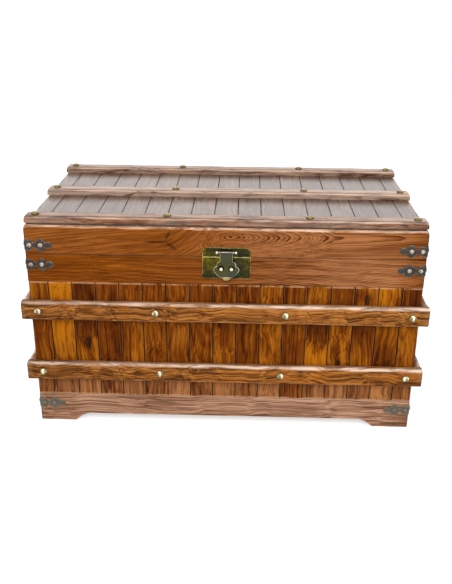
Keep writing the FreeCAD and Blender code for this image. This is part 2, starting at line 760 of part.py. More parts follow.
for name, level in strapLevels.items():
    wings = [strapWing(f"{name}Front", level, "X"), strapWing(f"{name}Side", level, "Y")]
    drills = strapDrills(f"{name}Front", level, "X") + strapDrills(f"{name}Side", level, "Y")
    strap = cut(f"{name}Strap", fuse(f"{name}Wings", wings), fuse(f"{name}Drills", drills))
    keep(fourCorners(f"{name}Straps", strap), f"{name}_corner_straps")


def strapNailPlaces(level):
    """Two nails on each wing of the four straps of one level."""
    height = value(level)
    lengthwise = value(halfLength)
    depthwise = value(halfDepth)
    proud = size("strapThick")
    places = []
    for inset in (size("strapNailReach"), size("lobeReach")):
        for sideX in (-1, 1):
            for sideY in (-1, 1):
                front = (sideX * (lengthwise - inset), sideY * (depthwise + proud), height)
                end = (sideX * (lengthwise + proud), sideY * (depthwise - inset), height)
                places.append((front, (0, sideY, 0)))
                places.append((end, (sideX, 0, 0)))
    return places


scatter("lid_strap_nails", strapNail, strapNailPlaces(strapLevels["lid"]))
baseStrapNails = strapNailPlaces(strapLevels["rail"]) + strapNailPlaces(strapLevels["plinth"])
scatter("base_strap_nails", strapNail, baseStrapNails)

# ---------------------------------------------------------------- latch
latchLeft = "(Sizes.latchShift - Sizes.latchWidth / 2)"
latchRight = "(Sizes.latchShift + Sizes.latchWidth / 2)"
latchFace = f"({halfDepth} + Sizes.latchThick)"
pinZ = f"({lidLow} + Sizes.latchPinRise)"
pinY = f"({latchFace} + Sizes.latchBallRadius)"
latchLidTop = f"({lidLow} + Sizes.latchLidHeight)"
earInner = "(Sizes.neckWidth / 2 + Sizes.eyePlay)"
earOuter = f"({earInner} + Sizes.earThick)"

basePlate = box(
    "basePlate",
    (latchLeft, minus(latchFace), f"{baseTop} - Sizes.latchBaseHeight"),
    (latchRight, minus(halfDepth), baseTop),
)
keep(basePlate, "latch_base_plate")

lidPlateBody = doc.addObject("PartDesign::Body", "lidPlateBody")
lidPlateOutline = polygon(
    lidPlateBody, "lidPlateOutline", "XZ_Plane",
    (
        (latchLeft, lidLow),
        (latchRight, lidLow),
        (latchRight, f"{latchLidTop} - Sizes.latchCorner"),
        (f"{latchRight} - Sizes.latchCorner", latchLidTop),
        (f"{latchLeft} + Sizes.latchCorner", latchLidTop),
        (latchLeft, f"{latchLidTop} - Sizes.latchCorner"),
    ),
)
lidPlatePad = lidPlateBody.newObject("PartDesign::Pad", "lidPlatePad")
lidPlatePad.Profile = lidPlateOutline
bind(lidPlatePad, Length="Sizes.latchThick")
bind(lidPlateBody, **{"Placement.Base.y": minus(halfDepth)})
ears = []
for index, start in enumerate((f"(Sizes.latchShift - {earOuter})", f"(Sizes.latchShift + {earInner})")):
    ears.append(facetRod(
        f"ear{index}", (start, minus(pinY), pinZ), "X", "Sizes.knuckleRadius", "Sizes.earThick"
    ))
    ears.append(box(
        f"earRoot{index}",
        (start, minus(pinY), f"{pinZ} - Sizes.knuckleRadius"),
        (f"{start} + Sizes.earThick", minus(halfDepth), f"{pinZ} + Sizes.knuckleRadius"),
    ))
slotLow = f"{pinZ} + Sizes.latchSlotRise"
slot = box(
    "lidPlateSlot",
    ("Sizes.latchShift - Sizes.latchSlotHalf", f"-{latchFace} - 1", slotLow),
    ("Sizes.latchShift + Sizes.latchSlotHalf", minus(halfDepth), f"{slotLow} + Sizes.latchSlotHeight"),
)
earStart = (latchLeft, minus(pinY), pinZ)
earBore = rod("earBore", earStart, "X", "Sizes.latchPinRadius", "Sizes.latchWidth")
lidPlateWhole = fuse("lidPlateWhole", [lidPlateBody] + ears)
keep(cut("lidPlate", lidPlateWhole, fuse("lidPlateCuts", [earBore, slot])), "latch_lid_plate")


def roundKnob(centre, radius, direction):
    """A small ball with flat facets, its poles along a direction."""
    tilts = [math.radians(angle) for angle in (-75, -45, 0, 45, 75)]
    rings = [(radius * math.cos(tilt), radius * math.sin(tilt)) for tilt in tilts]
    knob = turned(rings, ringSides)
    knob.Placement = Placement(centre, Rotation(Vector(0, 0, 1), direction))
    return knob


def latchPin():
    """A plain pin that is tight in the ears, with a ball at each end."""
    along = Vector(1, 0, 0)
    reach = value(earOuter) + size("latchBallRadius") * math.sin(math.radians(75))
    start = Vector(size("latchShift") - reach, -value(pinY), value(pinZ))
    end = start + along * 2 * reach
    whole = Part.makeCylinder(size("latchPinRadius"), 2 * reach, start, along)
    for centre in (start, end):
        whole = whole.fuse(roundKnob(centre, size("latchBallRadius"), along))
    return whole


shaped("latch_hinge_pin", latchPin())

# the hasp: a rolled eye and a neck, widening into a lobed plate, with a bent half-round tongue
haspBack = f"({latchFace} + Sizes.haspGap)"
haspFront = f"({haspBack} + Sizes.latchThick)"
halfNeck = "(Sizes.neckWidth / 2)"
haspHalf = (
    (halfNeck, "0"),
    (halfNeck, "Sizes.neckLength"),
    ("Sizes.shoulderReach - Sizes.shoulderRound * 0.6", "Sizes.shoulderDrop - Sizes.shoulderRound"),
    ("Sizes.shoulderReach", "Sizes.shoulderDrop"),
    ("Sizes.armpitReach", "Sizes.armpitDrop"),
    ("Sizes.wingReach - Sizes.wingRound", "Sizes.wingDrop - Sizes.wingRound * 1.6"),
    ("Sizes.wingReach", "Sizes.wingDrop"),
    ("Sizes.wingReach - Sizes.wingRound * 0.5", "Sizes.wingDrop + Sizes.wingRound * 1.6"),
    ("Sizes.cheekReach", "Sizes.cheekDrop"),
    ("Sizes.chinReach", "Sizes.chinDrop"),
)
haspBody = doc.addObject("PartDesign::Body", "haspBody")
haspPoints = [(across, f"{pinZ} - ({drop})") for across, drop in haspHalf]
haspPoints += [(minus(across), f"{pinZ} - ({drop})") for across, drop in haspHalf[::-1]]
haspPad = haspBody.newObject("PartDesign::Pad", "haspPad")
haspPad.Profile = polygon(haspBody, "haspOutline", "XZ_Plane", haspPoints)
bind(haspPad, Length="Sizes.latchThick")
bind(haspBody, **{"Placement.Base.x": "Sizes.latchShift", "Placement.Base.y": minus(haspBack)})
eyeStart = (f"Sizes.latchShift - {halfNeck}", minus(pinY), pinZ)
haspEye = facetRod("haspEye", eyeStart, "X", "Sizes.knuckleRadius", "Sizes.neckWidth")
tongue = doc.addObject("Part::Prism", "haspTongue")
bind(tongue, Polygon="Sizes.ringSides", Circumradius="Sizes.tongueRadius", Height="Sizes.latchThick")
# the disc is cut away down to its bend line, before the rest is swung out by the tilt about that line
bind(tongue, **{"Placement.Base.y": "-Sizes.tongueTrim"})
tongueSpare = doc.addObject("Part::Box", "haspTongueSpare")
spareWidth = "Sizes.tongueRadius + Sizes.tongueTrim"
bind(tongueSpare, Length="2 * Sizes.tongueRadius", Width=spareWidth, Height="Sizes.latchThick")
bind(tongueSpare, **{"Placement.Base.x": "-Sizes.tongueRadius", "Placement.Base.y": minus(spareWidth)})
tongueHalf = cut("haspTongueHalf", tongue, tongueSpare)
tongueHalf.Placement = Placement(Vector(), Rotation(Vector(1, 0, 0), -90 - size("tongueTilt")))
place(tongueHalf, ("Sizes.latchShift", minus(haspFront), f"{pinZ} - Sizes.chinDrop + Sizes.tongueLap"))
haspPlay = "Sizes.latchPinRadius + Sizes.drillGap"
haspTools = [rod("haspBore", eyeStart, "X", haspPlay, "Sizes.neckWidth")]
for side in "+-":
    across = f"Sizes.latchShift {side} Sizes.studReach"
    centre = (across, minus(haspFront), f"{pinZ} - Sizes.studDrop")
    dish = facetRod(f"studDish{len(haspTools)}", centre, "Y", "Sizes.studRing", "Sizes.studRingDepth")
    haspTools.append(dish)
haspWhole = fuse("haspWhole", [haspBody, haspEye, tongueHalf])
keep(cut("hasp", haspWhole, fuse("haspCuts", haspTools)), "hasp")


def stud(side):
    """A ball on a short stem that stands in its dish."""
    outward = Vector(0, -1, 0)
    length = size("studRingDepth") + size("studStand")
    height = value(pinZ) - size("studDrop")
    across = size("latchShift") + side * size("studReach")
    floor = Vector(across, size("studRingDepth") - value(haspFront), height)
    stem = turned(((size("studNeck"), 0), (size("studNeck"), length)), ringSides)
    stem.Placement = Placement(floor, Rotation(Vector(0, 0, 1), outward))
    centre = floor + outward * length
    return stem.fuse(roundKnob(centre, size("studBall"), outward)).removeSplitter()


shaped("hasp_studs", Part.makeCompound([stud(side) for side in (-1, 1)]))

plateNailX = (value(latchLeft) + size("latchNailInset"), value(latchRight) - size("latchNailInset"))
plateNailY = -value(latchFace)
lowNailZ = value(baseTop) - size("latchBaseHeight") + size("latchNailInset")
highNailZ = value(baseTop) - size("latchNailInset")
lidPinHeight = value(lidLow) + size("latchNailInset")


def platePins(heights):
    """Pins near both ends of a latch plate, at each height."""
    return [((x, plateNailY, z), (0, -1, 0)) for x in plateNailX for z in heights]


scatter("base_latch_pins", latchNail, platePins((lowNailZ, highNailZ)))
scatter("lid_latch_pins", latchNail, platePins((lidPinHeight,)))

# ---------------------------------------------------------------- back hinges
hingeZ = f"({baseTop} + Sizes.lidGap / 2)"
hingeY = f"({halfDepth} + Sizes.barrelRadius + Sizes.barrelGap)"
leafFace = f"({halfDepth} + Sizes.leafThick)"
leafStart = "(Sizes.barrelRadius + Sizes.barrelGap)"
knuckleLength = "(Sizes.leafWidth / 3)"


def hingeLeaf(name, centre, upward, knuckles):
    """A plate on the back of the chest with rolled knuckles at the given thirds of its width. The pin is
    tight in the fixed leaf and free in the lid's, which carries a nib that meets the fixed leaf when
    the lid is open."""
    ends = (leafStart, "Sizes.leafHeight")
    heights = [f"{hingeZ} {'+' if upward else '-'} {end}" for end in ends]
    low, high = heights if upward else heights[::-1]
    pieces = [box(
        f"{name}Plate",
        (f"{centre} - Sizes.leafWidth / 2", halfDepth, low),
        (f"{centre} + Sizes.leafWidth / 2", leafFace, high),
    )]
    for index in knuckles:
        start = f"{centre} - Sizes.leafWidth / 2 + {index} * {knuckleLength} + Sizes.barrelGap / 2"
        length = f"{knuckleLength} - Sizes.barrelGap"
        end = f"{start} + {length}"
        root = (hingeZ, heights[0]) if upward else (heights[0], hingeZ)
        pieces.append(box(f"{name}Root{index}", (start, halfDepth, root[0]), (end, leafFace, root[1])))
        roll = facetRod(f"{name}Roll{index}", (start, hingeY, hingeZ), "X", "Sizes.barrelRadius", length)
        pieces.append(roll)
        if upward:
            pieces.append(box(
                f"{name}Nib{index}",
                (start, hingeY, f"{hingeZ} - Sizes.stopThick / 2"),
                (end, f"{hingeY} + Sizes.stopReach", f"{hingeZ} + Sizes.stopThick / 2"),
            ))
    start = (f"{centre} - Sizes.leafWidth / 2", hingeY, hingeZ)
    play = "Sizes.barrelPin + Sizes.drillGap" if upward else "Sizes.barrelPin"
    bore = rod(f"{name}Bore", start, "X", play, "Sizes.leafWidth")
    return cut(name, fuse(f"{name}Whole", pieces), bore)


def screwHeight(upward):
    """Screws stand in the middle of the flat part of a leaf."""
    return f"{hingeZ} {'+' if upward else '-'} ({leafStart} + Sizes.leafHeight) / 2"


hingeCentres = {"Left": "(-Sizes.hingeReach)", "Right": "(Sizes.hingeReach)"}
baseLeaves = [hingeLeaf(f"base{side}Leaf", at, False, (0, 2)) for side, at in hingeCentres.items()]
lidLeaves = [hingeLeaf(f"lid{side}Leaf", at, True, (1,)) for side, at in hingeCentres.items()]
keep(group("baseLeaves", baseLeaves), "base_hinge_leaves")
keep(group("lidLeaves", lidLeaves), "lid_hinge_leaves")

pins = []
for side, centre in hingeCentres.items():
    half = "(Sizes.leafWidth / 2 - Sizes.barrelGap / 2)"
    start = (f"{centre} - {half}", hingeY, hingeZ)
    pins.append(rod(f"pin{side}Rod", start, "X", "Sizes.barrelPin", f"2 * {half}"))
keep(group("hingePins", pins), "hinge_pins")


def leafScrews(upward):
    """Two screws in each leaf of one kind."""
    places = []
    for centre in hingeCentres.values():
        for shift in (-1, 1):
            across = value(centre) + shift * size("screwSpread")
            places.append(((across, value(leafFace), value(screwHeight(upward))), (0, 1, 0)))
    return places


scatter("lid_screws", screw, leafScrews(True))
baseScrews = leafScrews(False)

# ---------------------------------------------------------------- lifting handles
plateX = f"({halfLength} + Sizes.handlePlateThick)"
pivotX = f"({plateX} + Sizes.handleStand)"
pivotZ = f"({upperBandLow} - Sizes.handleDrop)"
lugOuter = "(Sizes.bailHalf - Sizes.bailElbow - Sizes.lugGap)"
lugInner = f"({lugOuter} - Sizes.lugThick)"


def cutCorners(halfAcross, halfUp, corner, middle):
    """Eight points of an upright plate with its corners cut off, about the middle's height."""
    points = []
    for sideAcross, sideUp, order in ((1, -1, 1), (1, 1, -1), (-1, 1, 1), (-1, -1, -1)):
        pair = [
            (f"{sideAcross} * ({halfAcross} - {corner})", f"{middle} + {sideUp} * {halfUp}"),
            (f"{sideAcross} * {halfAcross}", f"{middle} + {sideUp} * ({halfUp} - {corner})"),
        ]
        points += pair[::order]
    return points


def handlePlate():
    """Plate with cut corners and two bored lugs, on the right-hand end of the chest."""
    plate = doc.addObject("PartDesign::Body", "handlePlateBody")
    outline = cutCorners(
        "Sizes.handlePlateHalf", "Sizes.handlePlateRise", "Sizes.handlePlateCorner", pivotZ
    )
    pad = plate.newObject("PartDesign::Pad", "handlePlatePad")
    pad.Profile = polygon(plate, "handlePlateOutline", "YZ_Plane", outline)
    bind(pad, Length="Sizes.handlePlateThick")
    bind(plate, **{"Placement.Base.x": halfLength})
    pieces = [plate]
    for index, start in enumerate((minus(lugOuter), lugInner)):
        pieces.append(facetRod(
            f"lug{index}", (pivotX, start, pivotZ), "Y", "Sizes.lugRadius", "Sizes.lugThick"
        ))
        halfRoot = "Sizes.lugRadius * cos(180 / Sizes.ringSides)"
        pieces.append(box(
            f"lugRoot{index}",
            (halfLength, start, f"{pivotZ} - {halfRoot}"),
            (pivotX, f"{start} + Sizes.lugThick", f"{pivotZ} + {halfRoot}"),
        ))
    boreStart = (pivotX, minus(lugOuter), pivotZ)
    bore = rod("lugBore", boreStart, "Y", "Sizes.bailRod + Sizes.drillGap", f"2 * {lugOuter}")
    return cut("handlePlate", fuse("handlePlateWhole", pieces), bore)


def bail():
    """Drop handle: a faceted rod bent to a U, with round ends turned in through the lugs. Its path is
    drawn from the middle of the grip outwards, with each bend in short steps."""
    rodRadius = size("bailRod")
    half = size("bailHalf")
    drop = size("bailDrop")
    path = []
    for centreY, centreZ, radius, start, steps in (
        (half - size("bailCorner"), size("bailCorner") - drop, size("bailCorner"), -90, 3),
        (half - size("bailElbow"), -size("bailElbow"), size("bailElbow"), 0, 2),
    ):
        for step in range(steps + 1):
            turn = math.radians(start + 90 * step / steps)
            path.append((centreY + radius * math.cos(turn), centreZ + radius * math.sin(turn)))
    pivot = Vector(value(pivotX), 0, value(pivotZ))
    right = [pivot + Vector(0, y, z) for y, z in path]
    left = [pivot + Vector(0, -y, z) for y, z in path]
    spine = Part.makePolygon(left[::-1] + right)
    ring = turned(((rodRadius, 0), (rodRadius, 1)), ringSides).Faces[0].OuterWire
    ring.Placement = Placement(left[-1], Rotation(Vector(0, 0, 1), Vector(0, -1, 0)))
    whole = spine.makePipeShell([ring], True, False, 1)
    stub = value(f"{lugOuter} - {lugInner} + 2 * Sizes.lugGap")
    whole = whole.fuse(Part.makeCylinder(rodRadius, stub, right[-1], Vector(0, -1, 0)))
    whole = whole.fuse(Part.makeCylinder(rodRadius, stub, left[-1], Vector(0, 1, 0)))
    return whole


rightPlate = keep(handlePlate(), "handle_right_plate")
rightBail = shaped("handle_right_bail", bail())
keep(mirrored("leftPlate", rightPlate, Vector(1, 0, 0)), "handle_left_plate")
keep(mirrored("leftBail", rightBail, Vector(1, 0, 0)), "handle_left_bail")

for side in (-1, 1):
    for across in (-size("handleScrewReach"), size("handleScrewReach")):
        baseScrews.append(((side * value(plateX), across, value(pivotZ)), (side, 0, 0)))
scatter("base_screws", screw, baseScrews)

# ---------------------------------------------------------------- checks and files
doc.recompute()
for thing in doc.Objects:
    if {"Invalid", "Error"} & set(thing.State):
        raise RuntimeError(f"{thing.Name} failed: {thing.State}")
for part in parts:
    if part.Shape.isNull() or not part.Shape.isValid() or not part.Shape.Solids:
        raise RuntimeError(f"{part.Label} has no sound shape")

os.makedirs("parts", exist_ok=True)
for part in parts:
    part.Shape.exportStep(f"parts/{part.Label}.step")
print(f"{len(parts)} nodes, {sum(len(part.Shape.Solids) for part in parts)} solids")
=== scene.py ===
import math

import bpy
import numpy as np
from mathutils import Matrix, Vector


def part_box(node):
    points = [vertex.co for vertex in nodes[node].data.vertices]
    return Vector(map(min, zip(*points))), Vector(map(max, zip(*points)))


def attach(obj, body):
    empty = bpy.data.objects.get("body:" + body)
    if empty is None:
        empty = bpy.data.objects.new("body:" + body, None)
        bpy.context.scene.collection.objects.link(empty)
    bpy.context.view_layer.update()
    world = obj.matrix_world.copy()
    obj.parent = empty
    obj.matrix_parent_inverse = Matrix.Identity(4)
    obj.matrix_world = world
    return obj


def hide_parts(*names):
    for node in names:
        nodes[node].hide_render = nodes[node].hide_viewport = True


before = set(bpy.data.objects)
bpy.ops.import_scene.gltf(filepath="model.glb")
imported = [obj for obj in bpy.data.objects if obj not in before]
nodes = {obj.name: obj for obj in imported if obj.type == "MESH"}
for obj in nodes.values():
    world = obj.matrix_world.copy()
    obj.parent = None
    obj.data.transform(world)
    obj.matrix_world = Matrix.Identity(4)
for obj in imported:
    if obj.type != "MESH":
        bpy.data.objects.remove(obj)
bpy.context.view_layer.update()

walls = ("front", "right", "back", "left")
upward = (0, 0, 1)
mm = 0.001  # the numbers below are in millimetres, and the frame is in metres
print("frame loaded:", len(nodes), "pieces")


# numbers and small curves

def tint(red, green, blue):
    # a colour as a paint chart gives it, 0 to 255, turned into the linear light the shader wants
    share = np.array([red, green, blue], float) / 255
    linear = np.where(share <= 0.04045, share / 12.92, ((share + 0.055) / 1.055) ** 2.4)
    return (*linear.tolist(), 1.0)


def wander(places, seed, longest, waves=5):
    # a slow wavy line between about -1 and 1: a sum of sine waves, each 0.55 as long and 0.62 as strong
    # as the one before, sin(2 pi place / length + phase), with lengths and phases drawn from the seed
    draw = np.random.default_rng(seed)
    order = np.arange(waves)
    lengths = longest * 0.55 ** order * draw.uniform(0.8, 1.25, waves)
    phases = draw.uniform(0, 2 * np.pi, waves)
    strengths = 0.62 ** order
    angles = 2 * np.pi * np.asarray(places, float)[..., None] / lengths + phases
    return 1.3 * (np.sin(angles) * strengths).sum(-1) / strengths.sum()


def quarterDrop(inset, radius):
    # how far a quarter round has fallen at a distance in from the end: r - sqrt(r^2 - (r - inset)^2)
    left = np.clip(radius - inset, 0, radius)
    return radius - np.sqrt(np.maximum(radius ** 2 - left ** 2, 0))


def unit(vectors):
    return vectors / np.maximum(np.linalg.norm(vectors, axis=-1, keepdims=True), 1e-12)


# surfaces on a grid, and how they become pieces

def gridQuads(rows, columns):
    # four-cornered faces between neighbouring rings of a grid, each ring closed on itself
    here = np.arange(rows * columns).reshape(rows, columns)
    after = np.roll(here, -1, axis=1)
    return np.stack([here[:-1], after[:-1], after[1:], here[1:]], -1).reshape(-1, 4)


def closedSurface(rings, layers, finish=0):
    # rings x points x 3: a skin over closed rings with a flat cap at each end. Its enclosed volume, the
    # sum of p0 . (p1 x p2) / 6 over the triangles, tells whether the faces look outwards.
    rows, columns = rings.shape[:2]
    points = rings.reshape(-1, 3)
    quads = gridQuads(rows, columns)
    caps = np.stack([np.arange(columns)[::-1], np.arange(columns) + (rows - 1) * columns])
    centred = points - points.mean(0)
    corner = centred[quads]
    volume = (corner[:, 0] * np.cross(corner[:, 1], corner[:, 2])).sum()
    volume += (corner[:, 0] * np.cross(corner[:, 2], corner[:, 3])).sum()
    for cap in caps:
        edge = centred[cap]
        volume += (edge[0] * np.cross(edge[1:-1], edge[2:])).sum()
    if volume < 0:
        quads, caps = quads[:, ::-1], caps[:, ::-1]
    return {
        "points": points, "quads": quads, "caps": [caps], "finish": [(len(quads), len(caps), finish)],
        "layers": {name: values.reshape(-1, 3) for name, values in layers.items()},
    }


def joined(shapes):
    # several closed surfaces as one mesh, their point numbers counted on from one to the next
    counts = [len(shape["points"]) for shape in shapes]
    starts = np.concatenate([[0], np.cumsum(counts)[:-1]])
    return {
        "points": np.concatenate([shape["points"] for shape in shapes]),
        "quads": np.concatenate([shape["quads"] + start for shape, start in zip(shapes, starts)]),
        "caps": [cap + start for shape, start in zip(shapes, starts) for cap in shape["caps"]],
        "finish": [entry for shape in shapes for entry in shape["finish"]],
        "layers": {
            name: np.concatenate([shape["layers"][name] for shape in shapes]) for name in shapes[0]["layers"]
        },
    }


def makePiece(name, shape, body, slot, *materials):
    # the finished object stands in for the frame's piece of the same name; a shape's finish number picks
    # one of the materials, folds sharper than 40 degrees stay crisp, and the flat caps stay flat
    mesh = bpy.data.meshes.new(name)
    faces = shape["quads"].tolist()
    for cap in shape["caps"]:
        faces += cap.tolist()
    mesh.from_pydata(shape["points"].tolist(), [], faces)
    for layer, values in shape["layers"].items():
        attribute = mesh.attributes.new(layer, "FLOAT_VECTOR", "POINT")
        attribute.data.foreach_set("vector", np.ascontiguousarray(values, np.float32).ravel())
    for material in materials:
        mesh.materials.append(material)
    sides = [np.full(quads, finish) for quads, caps, finish in shape["finish"]]
    ends = [np.full(caps, finish) for quads, caps, finish in shape["finish"]]
    mesh.polygons.foreach_set("material_index", np.concatenate(sides + ends).astype(np.int32))
    mesh.shade_smooth()
    mesh.set_sharp_from_angle(angle=math.radians(40))
    mesh.polygons.foreach_set("use_smooth", np.arange(len(faces)) < len(shape["quads"]))
    piece = bpy.data.objects.new(f"{name}_made", mesh)
    bpy.context.collection.objects.link(piece)
    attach(piece, body)
    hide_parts(name)
    return piece


def roundedLoop(corners, radii, steps, fill):
    # stations x corners x 2 in, stations x points x 2 out. Each corner becomes an arc: its centre lies on
    # the corner's bisector at radius / sin(half angle), its ends at radius / tan(half angle) along both
    # sides, and the arc turns between them. Straight sides get a few points of their own.
    toBefore = unit(np.roll(corners, 1, 1) - corners)
    toAfter = unit(np.roll(corners, -1, 1) - corners)
    half = np.arccos(np.clip((toBefore * toAfter).sum(-1), -0.99999, 0.99999)) / 2
    radii = np.broadcast_to(radii, half.shape)
    tangent = (radii / np.tan(half))[..., None]
    centre = corners + unit(toBefore + toAfter) * (radii / np.sin(half))[..., None]
    start = corners + toBefore * tangent
    end = corners + toAfter * tangent
    sweep = np.maximum(np.pi - 2 * half, 1e-4)[..., None, None]
    share = np.linspace(0, 1, steps + 1)[:, None]
    first = (start - centre)[:, :, None]
    last = (end - centre)[:, :, None]
    arc = (np.sin((1 - share) * sweep) * first + np.sin(share * sweep) * last) / np.sin(sweep)
    arc = arc + centre[:, :, None]
    gap = np.linspace(0, 1, fill + 2)[1:-1, None]
    side = end[:, :, None] * (1 - gap) + np.roll(start, -1, 1)[:, :, None] * gap
    return np.concatenate([arc, side], 2).reshape(len(corners), -1, 2)


def insetCorners(corners, depth):
    # every side moved inwards by the depth: a corner shifts by depth (n1 + n2) / (1 + n1 . n2), where n1
    # and n2 are the inward normals of its two sides
    along = unit(np.roll(corners, -1, 1) - corners)
    normal = np.stack([-along[..., 1], along[..., 0]], -1)
    after = np.roll(corners, -1, 1)
    area = (corners[..., 0] * after[..., 1] - corners[..., 1] * after[..., 0]).sum(-1)
    normal = normal * np.sign(area)[:, None, None]
    before = np.roll(normal, 1, 1)
    dot = np.maximum((normal * before).sum(-1, keepdims=True), -0.6)
    return corners + depth[:, None, None] * (normal + before) / (1 + dot)


# planks: a section carried along the grain

def endSpread(length, radius):
    inset = radius * (1 - np.cos(np.linspace(0, np.pi / 2, 4)))
    return np.concatenate([inset, length - inset])


def spread(length, form, *extra):
    # stations along a board: one every so many millimetres, closer ones over the rounding of its ends or
    # over the form's own end, and others where the board needs them
    even = np.linspace(0, length, max(int(round(length / form["every"])), 2) + 1)
    ends = endSpread(length, form.get("end", form["ease"]))
    places = np.unique(np.round(np.concatenate([even, ends, *extra]), 5))
    return places[(places >= 0) & (places <= length)]


def edgeMasks(columns, form):
    # for every column of a rounded loop, how much painted highlight and how much painted shade it gets: marks
    # names corners, each with a row of highlight shares and a row of shade shares for the points of its arc
    # and perhaps of the side after it
    masks = np.zeros((columns, 2))
    for corner, (highlightShare, dark) in form["marks"].items():
        first = corner * (form["steps"] + 1 + form["fill"])
        masks[first:first + len(highlightShare)] = np.column_stack([highlightShare, dark])
    return masks


# how the heart of the log runs past a board, unless the board says otherwise
plainGrain = {
    "side": 0, "depth": 40,  # from the middle of the face, and below it
    "drift": 3, "driftLength": 220, "swell": 3, "swellLength": 300, "tilt": 0,  # how it strays
    "fine": 1,  # above 1, the rings lie closer
}


def plank(place, stations, corners, form, grain, tone):
    # place gives the low corner of the outer face and the directions along, across and out of the board.
    # form gives the edge radii from the inner low corner on, the points of each arc and of each side, the
    # rounding of the ends, the waver, the distance of the stations and the marks; tone has rows of place,
    # lightness, amber and scorch.
    # The section is shrunk towards both ends by a small quarter round, its edge radii swell and fade along
    # the board, and the whole section wavers by a fraction of a millimetre.
    origin, along, across, out = (np.array(item, float) for item in place)
    length = stations[-1]
    corners = insetCorners(corners, quarterDrop(np.minimum(stations, length - stations), form["ease"]))
    grain = {**plainGrain, **grain}
    seed = grain["seed"]
    worn = 1 + 0.3 * wander(stations, seed + 1, 90)[:, None]
    radii = np.maximum(np.broadcast_to(form["edges"], corners.shape[:2]) * worn, 0.12)
    loop = roundedLoop(corners, radii, form["steps"], form["fill"])
    waver = np.stack([wander(stations, seed + 2, 260), wander(stations, seed + 3, 180)], -1)
    loop = loop + form["wave"] * waver[:, None]
    reach = np.broadcast_to(stations[:, None], loop.shape[:2])
    points = origin + mm * (reach[..., None] * along + loop[..., :1] * across + loop[..., 1:] * out)

    # growth rings are round the pith, a line that runs beside or below the board and drifts and tilts,
    # or follows a path of its own
    drift = grain["drift"] * wander(stations, seed + 4, grain["driftLength"])
    swell = grain["swell"] * wander(stations, seed + 5, grain["swellLength"])
    sideways = grain["side"] + drift
    depth = grain["depth"] + swell + grain["tilt"] * (stations - length / 2)
    if "sidePath" in grain:
        sideways = np.interp(stations, *np.array(grain["sidePath"], float).T) + 0.4 * drift
        depth = np.interp(stations, *np.array(grain["depthPath"], float).T) + 0.4 * swell
    ringPlace = np.stack([
        reach + 37.0 * seed,  # every board is cut from another stretch of the log
        grain["fine"] * (loop[..., 0] - np.ptp(corners[..., 0]) / 2 - sideways[:, None]),
        grain["fine"] * (loop[..., 1] + depth[:, None]),
    ], -1) * mm
    knotPlace = np.full_like(ringPlace, 9.0)  # far from any knot
    if "knot" in grain:
        knotAlong, knotAcross, knotSize = grain["knot"]
        fromKnot = np.stack([reach - knotAlong, loop[..., 0] - knotAcross, 0.25 * loop[..., 1]], -1)
        knotPlace = fromKnot / knotSize
    low = corners[..., 0].min()
    width = corners[..., 0].max() - low
    tone = np.array(tone, float)
    toneAt = np.stack([np.interp(stations, tone[:, 0], tone[:, index]) for index in (1, 2, 3)], -1)
    toneAt = np.broadcast_to(toneAt[:, None], loop.shape[:2] + (3,))
    masks = edgeMasks(loop.shape[1], form)
    return closedSurface(points, {
        "grainPlace": ringPlace, "knotPlace": knotPlace, "toneShift": toneAt,
        "plankShare": np.stack([reach / length, (loop[..., 0] - low) / width, -loop[..., 1] / 15], -1),
        "edgeHighlightShade": np.broadcast_to(np.column_stack([masks, np.zeros(len(masks))]), toneAt.shape),
    })


# for each wall: the end of the box where its run starts, the run's direction, and the way out
wallSides = {
    "front": ((0, 0), (1, 0, 0), (0, -1, 0)), "right": ((1, 0), (0, 1, 0), (1, 0, 0)),
    "back": ((1, 1), (-1, 0, 0), (0, 1, 0)), "left": ((0, 1), (0, -1, 0), (-1, 0, 0)),
}


def wallPlace(node, wall):
    # the low outer corner of a board of one wall, with its directions, length, height and thickness
    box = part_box(node)
    (endX, endY), run, out = wallSides[wall]
    size = (box[1] - box[0]) * 1000
    length, thick = (size.x, size.y) if wall in ("front", "back") else (size.y, size.x)
    return (box[endX].x, box[endY].y, box[0].z), run, out, length, size.z, thick


def sectionAt(stations, *corners):
    # corners of a section for every station: height and depth of each, as one number or one per station
    return np.stack([
        np.stack([np.broadcast_to(value, stations.shape) for value in corner], -1) for corner in corners
    ], 1)


def rectangle(stations, height, thick, lowEdge=0.0):
    # inner low, outer low, outer top, inner top
    return sectionAt(stations, (lowEdge, -thick), (lowEdge, 0), (height, 0), (height, -thick))


# shader nodes

class wire:
    # an output inside a shader tree that adds, subtracts and multiplies like a number
    def __init__(self, tree, socket):
        self.tree, self.socket = tree, socket

    def __add__(self, other):
        return calc("ADD", self, other)

    def __radd__(self, other):
        return calc("ADD", other, self)

    def __sub__(self, other):
        return calc("SUBTRACT", self, other)

    def __rsub__(self, other):
        return calc("SUBTRACT", other, self)

    def __mul__(self, other):
        return calc("MULTIPLY", self, other)


def feed(socket, value):
    if isinstance(value, wire):
        value.tree.links.new(value.socket, socket)
    else:
        socket.default_value = value


def shaderNode(tree, kind, values, output=0, **choices):
    # a node with its choices made and its inputs fed, in order or by name, and one of its outputs
    node = tree.nodes.new("ShaderNode" + kind)
    for choice, value in choices.items():
        setattr(node, choice, value)
    for place, value in (values if isinstance(values, dict) else dict(enumerate(values))).items():
        feed(node.inputs[place], value)
    return wire(tree, node.outputs[output])


def treeOf(values):
    return next(value.tree for value in values if isinstance(value, wire))


def calc(operation, *values, clamp=False):
    return shaderNode(treeOf(values), "Math", values, operation=operation, use_clamp=clamp)


def held(first, second):
    # a product kept between 0 and 1
    return calc("MULTIPLY", first, second, clamp=True)


def vectorCalc(operation, *values):
    output = "Value" if operation == "LENGTH" else "Vector"
    return shaderNode(treeOf(values), "VectorMath", values, output, operation=operation)


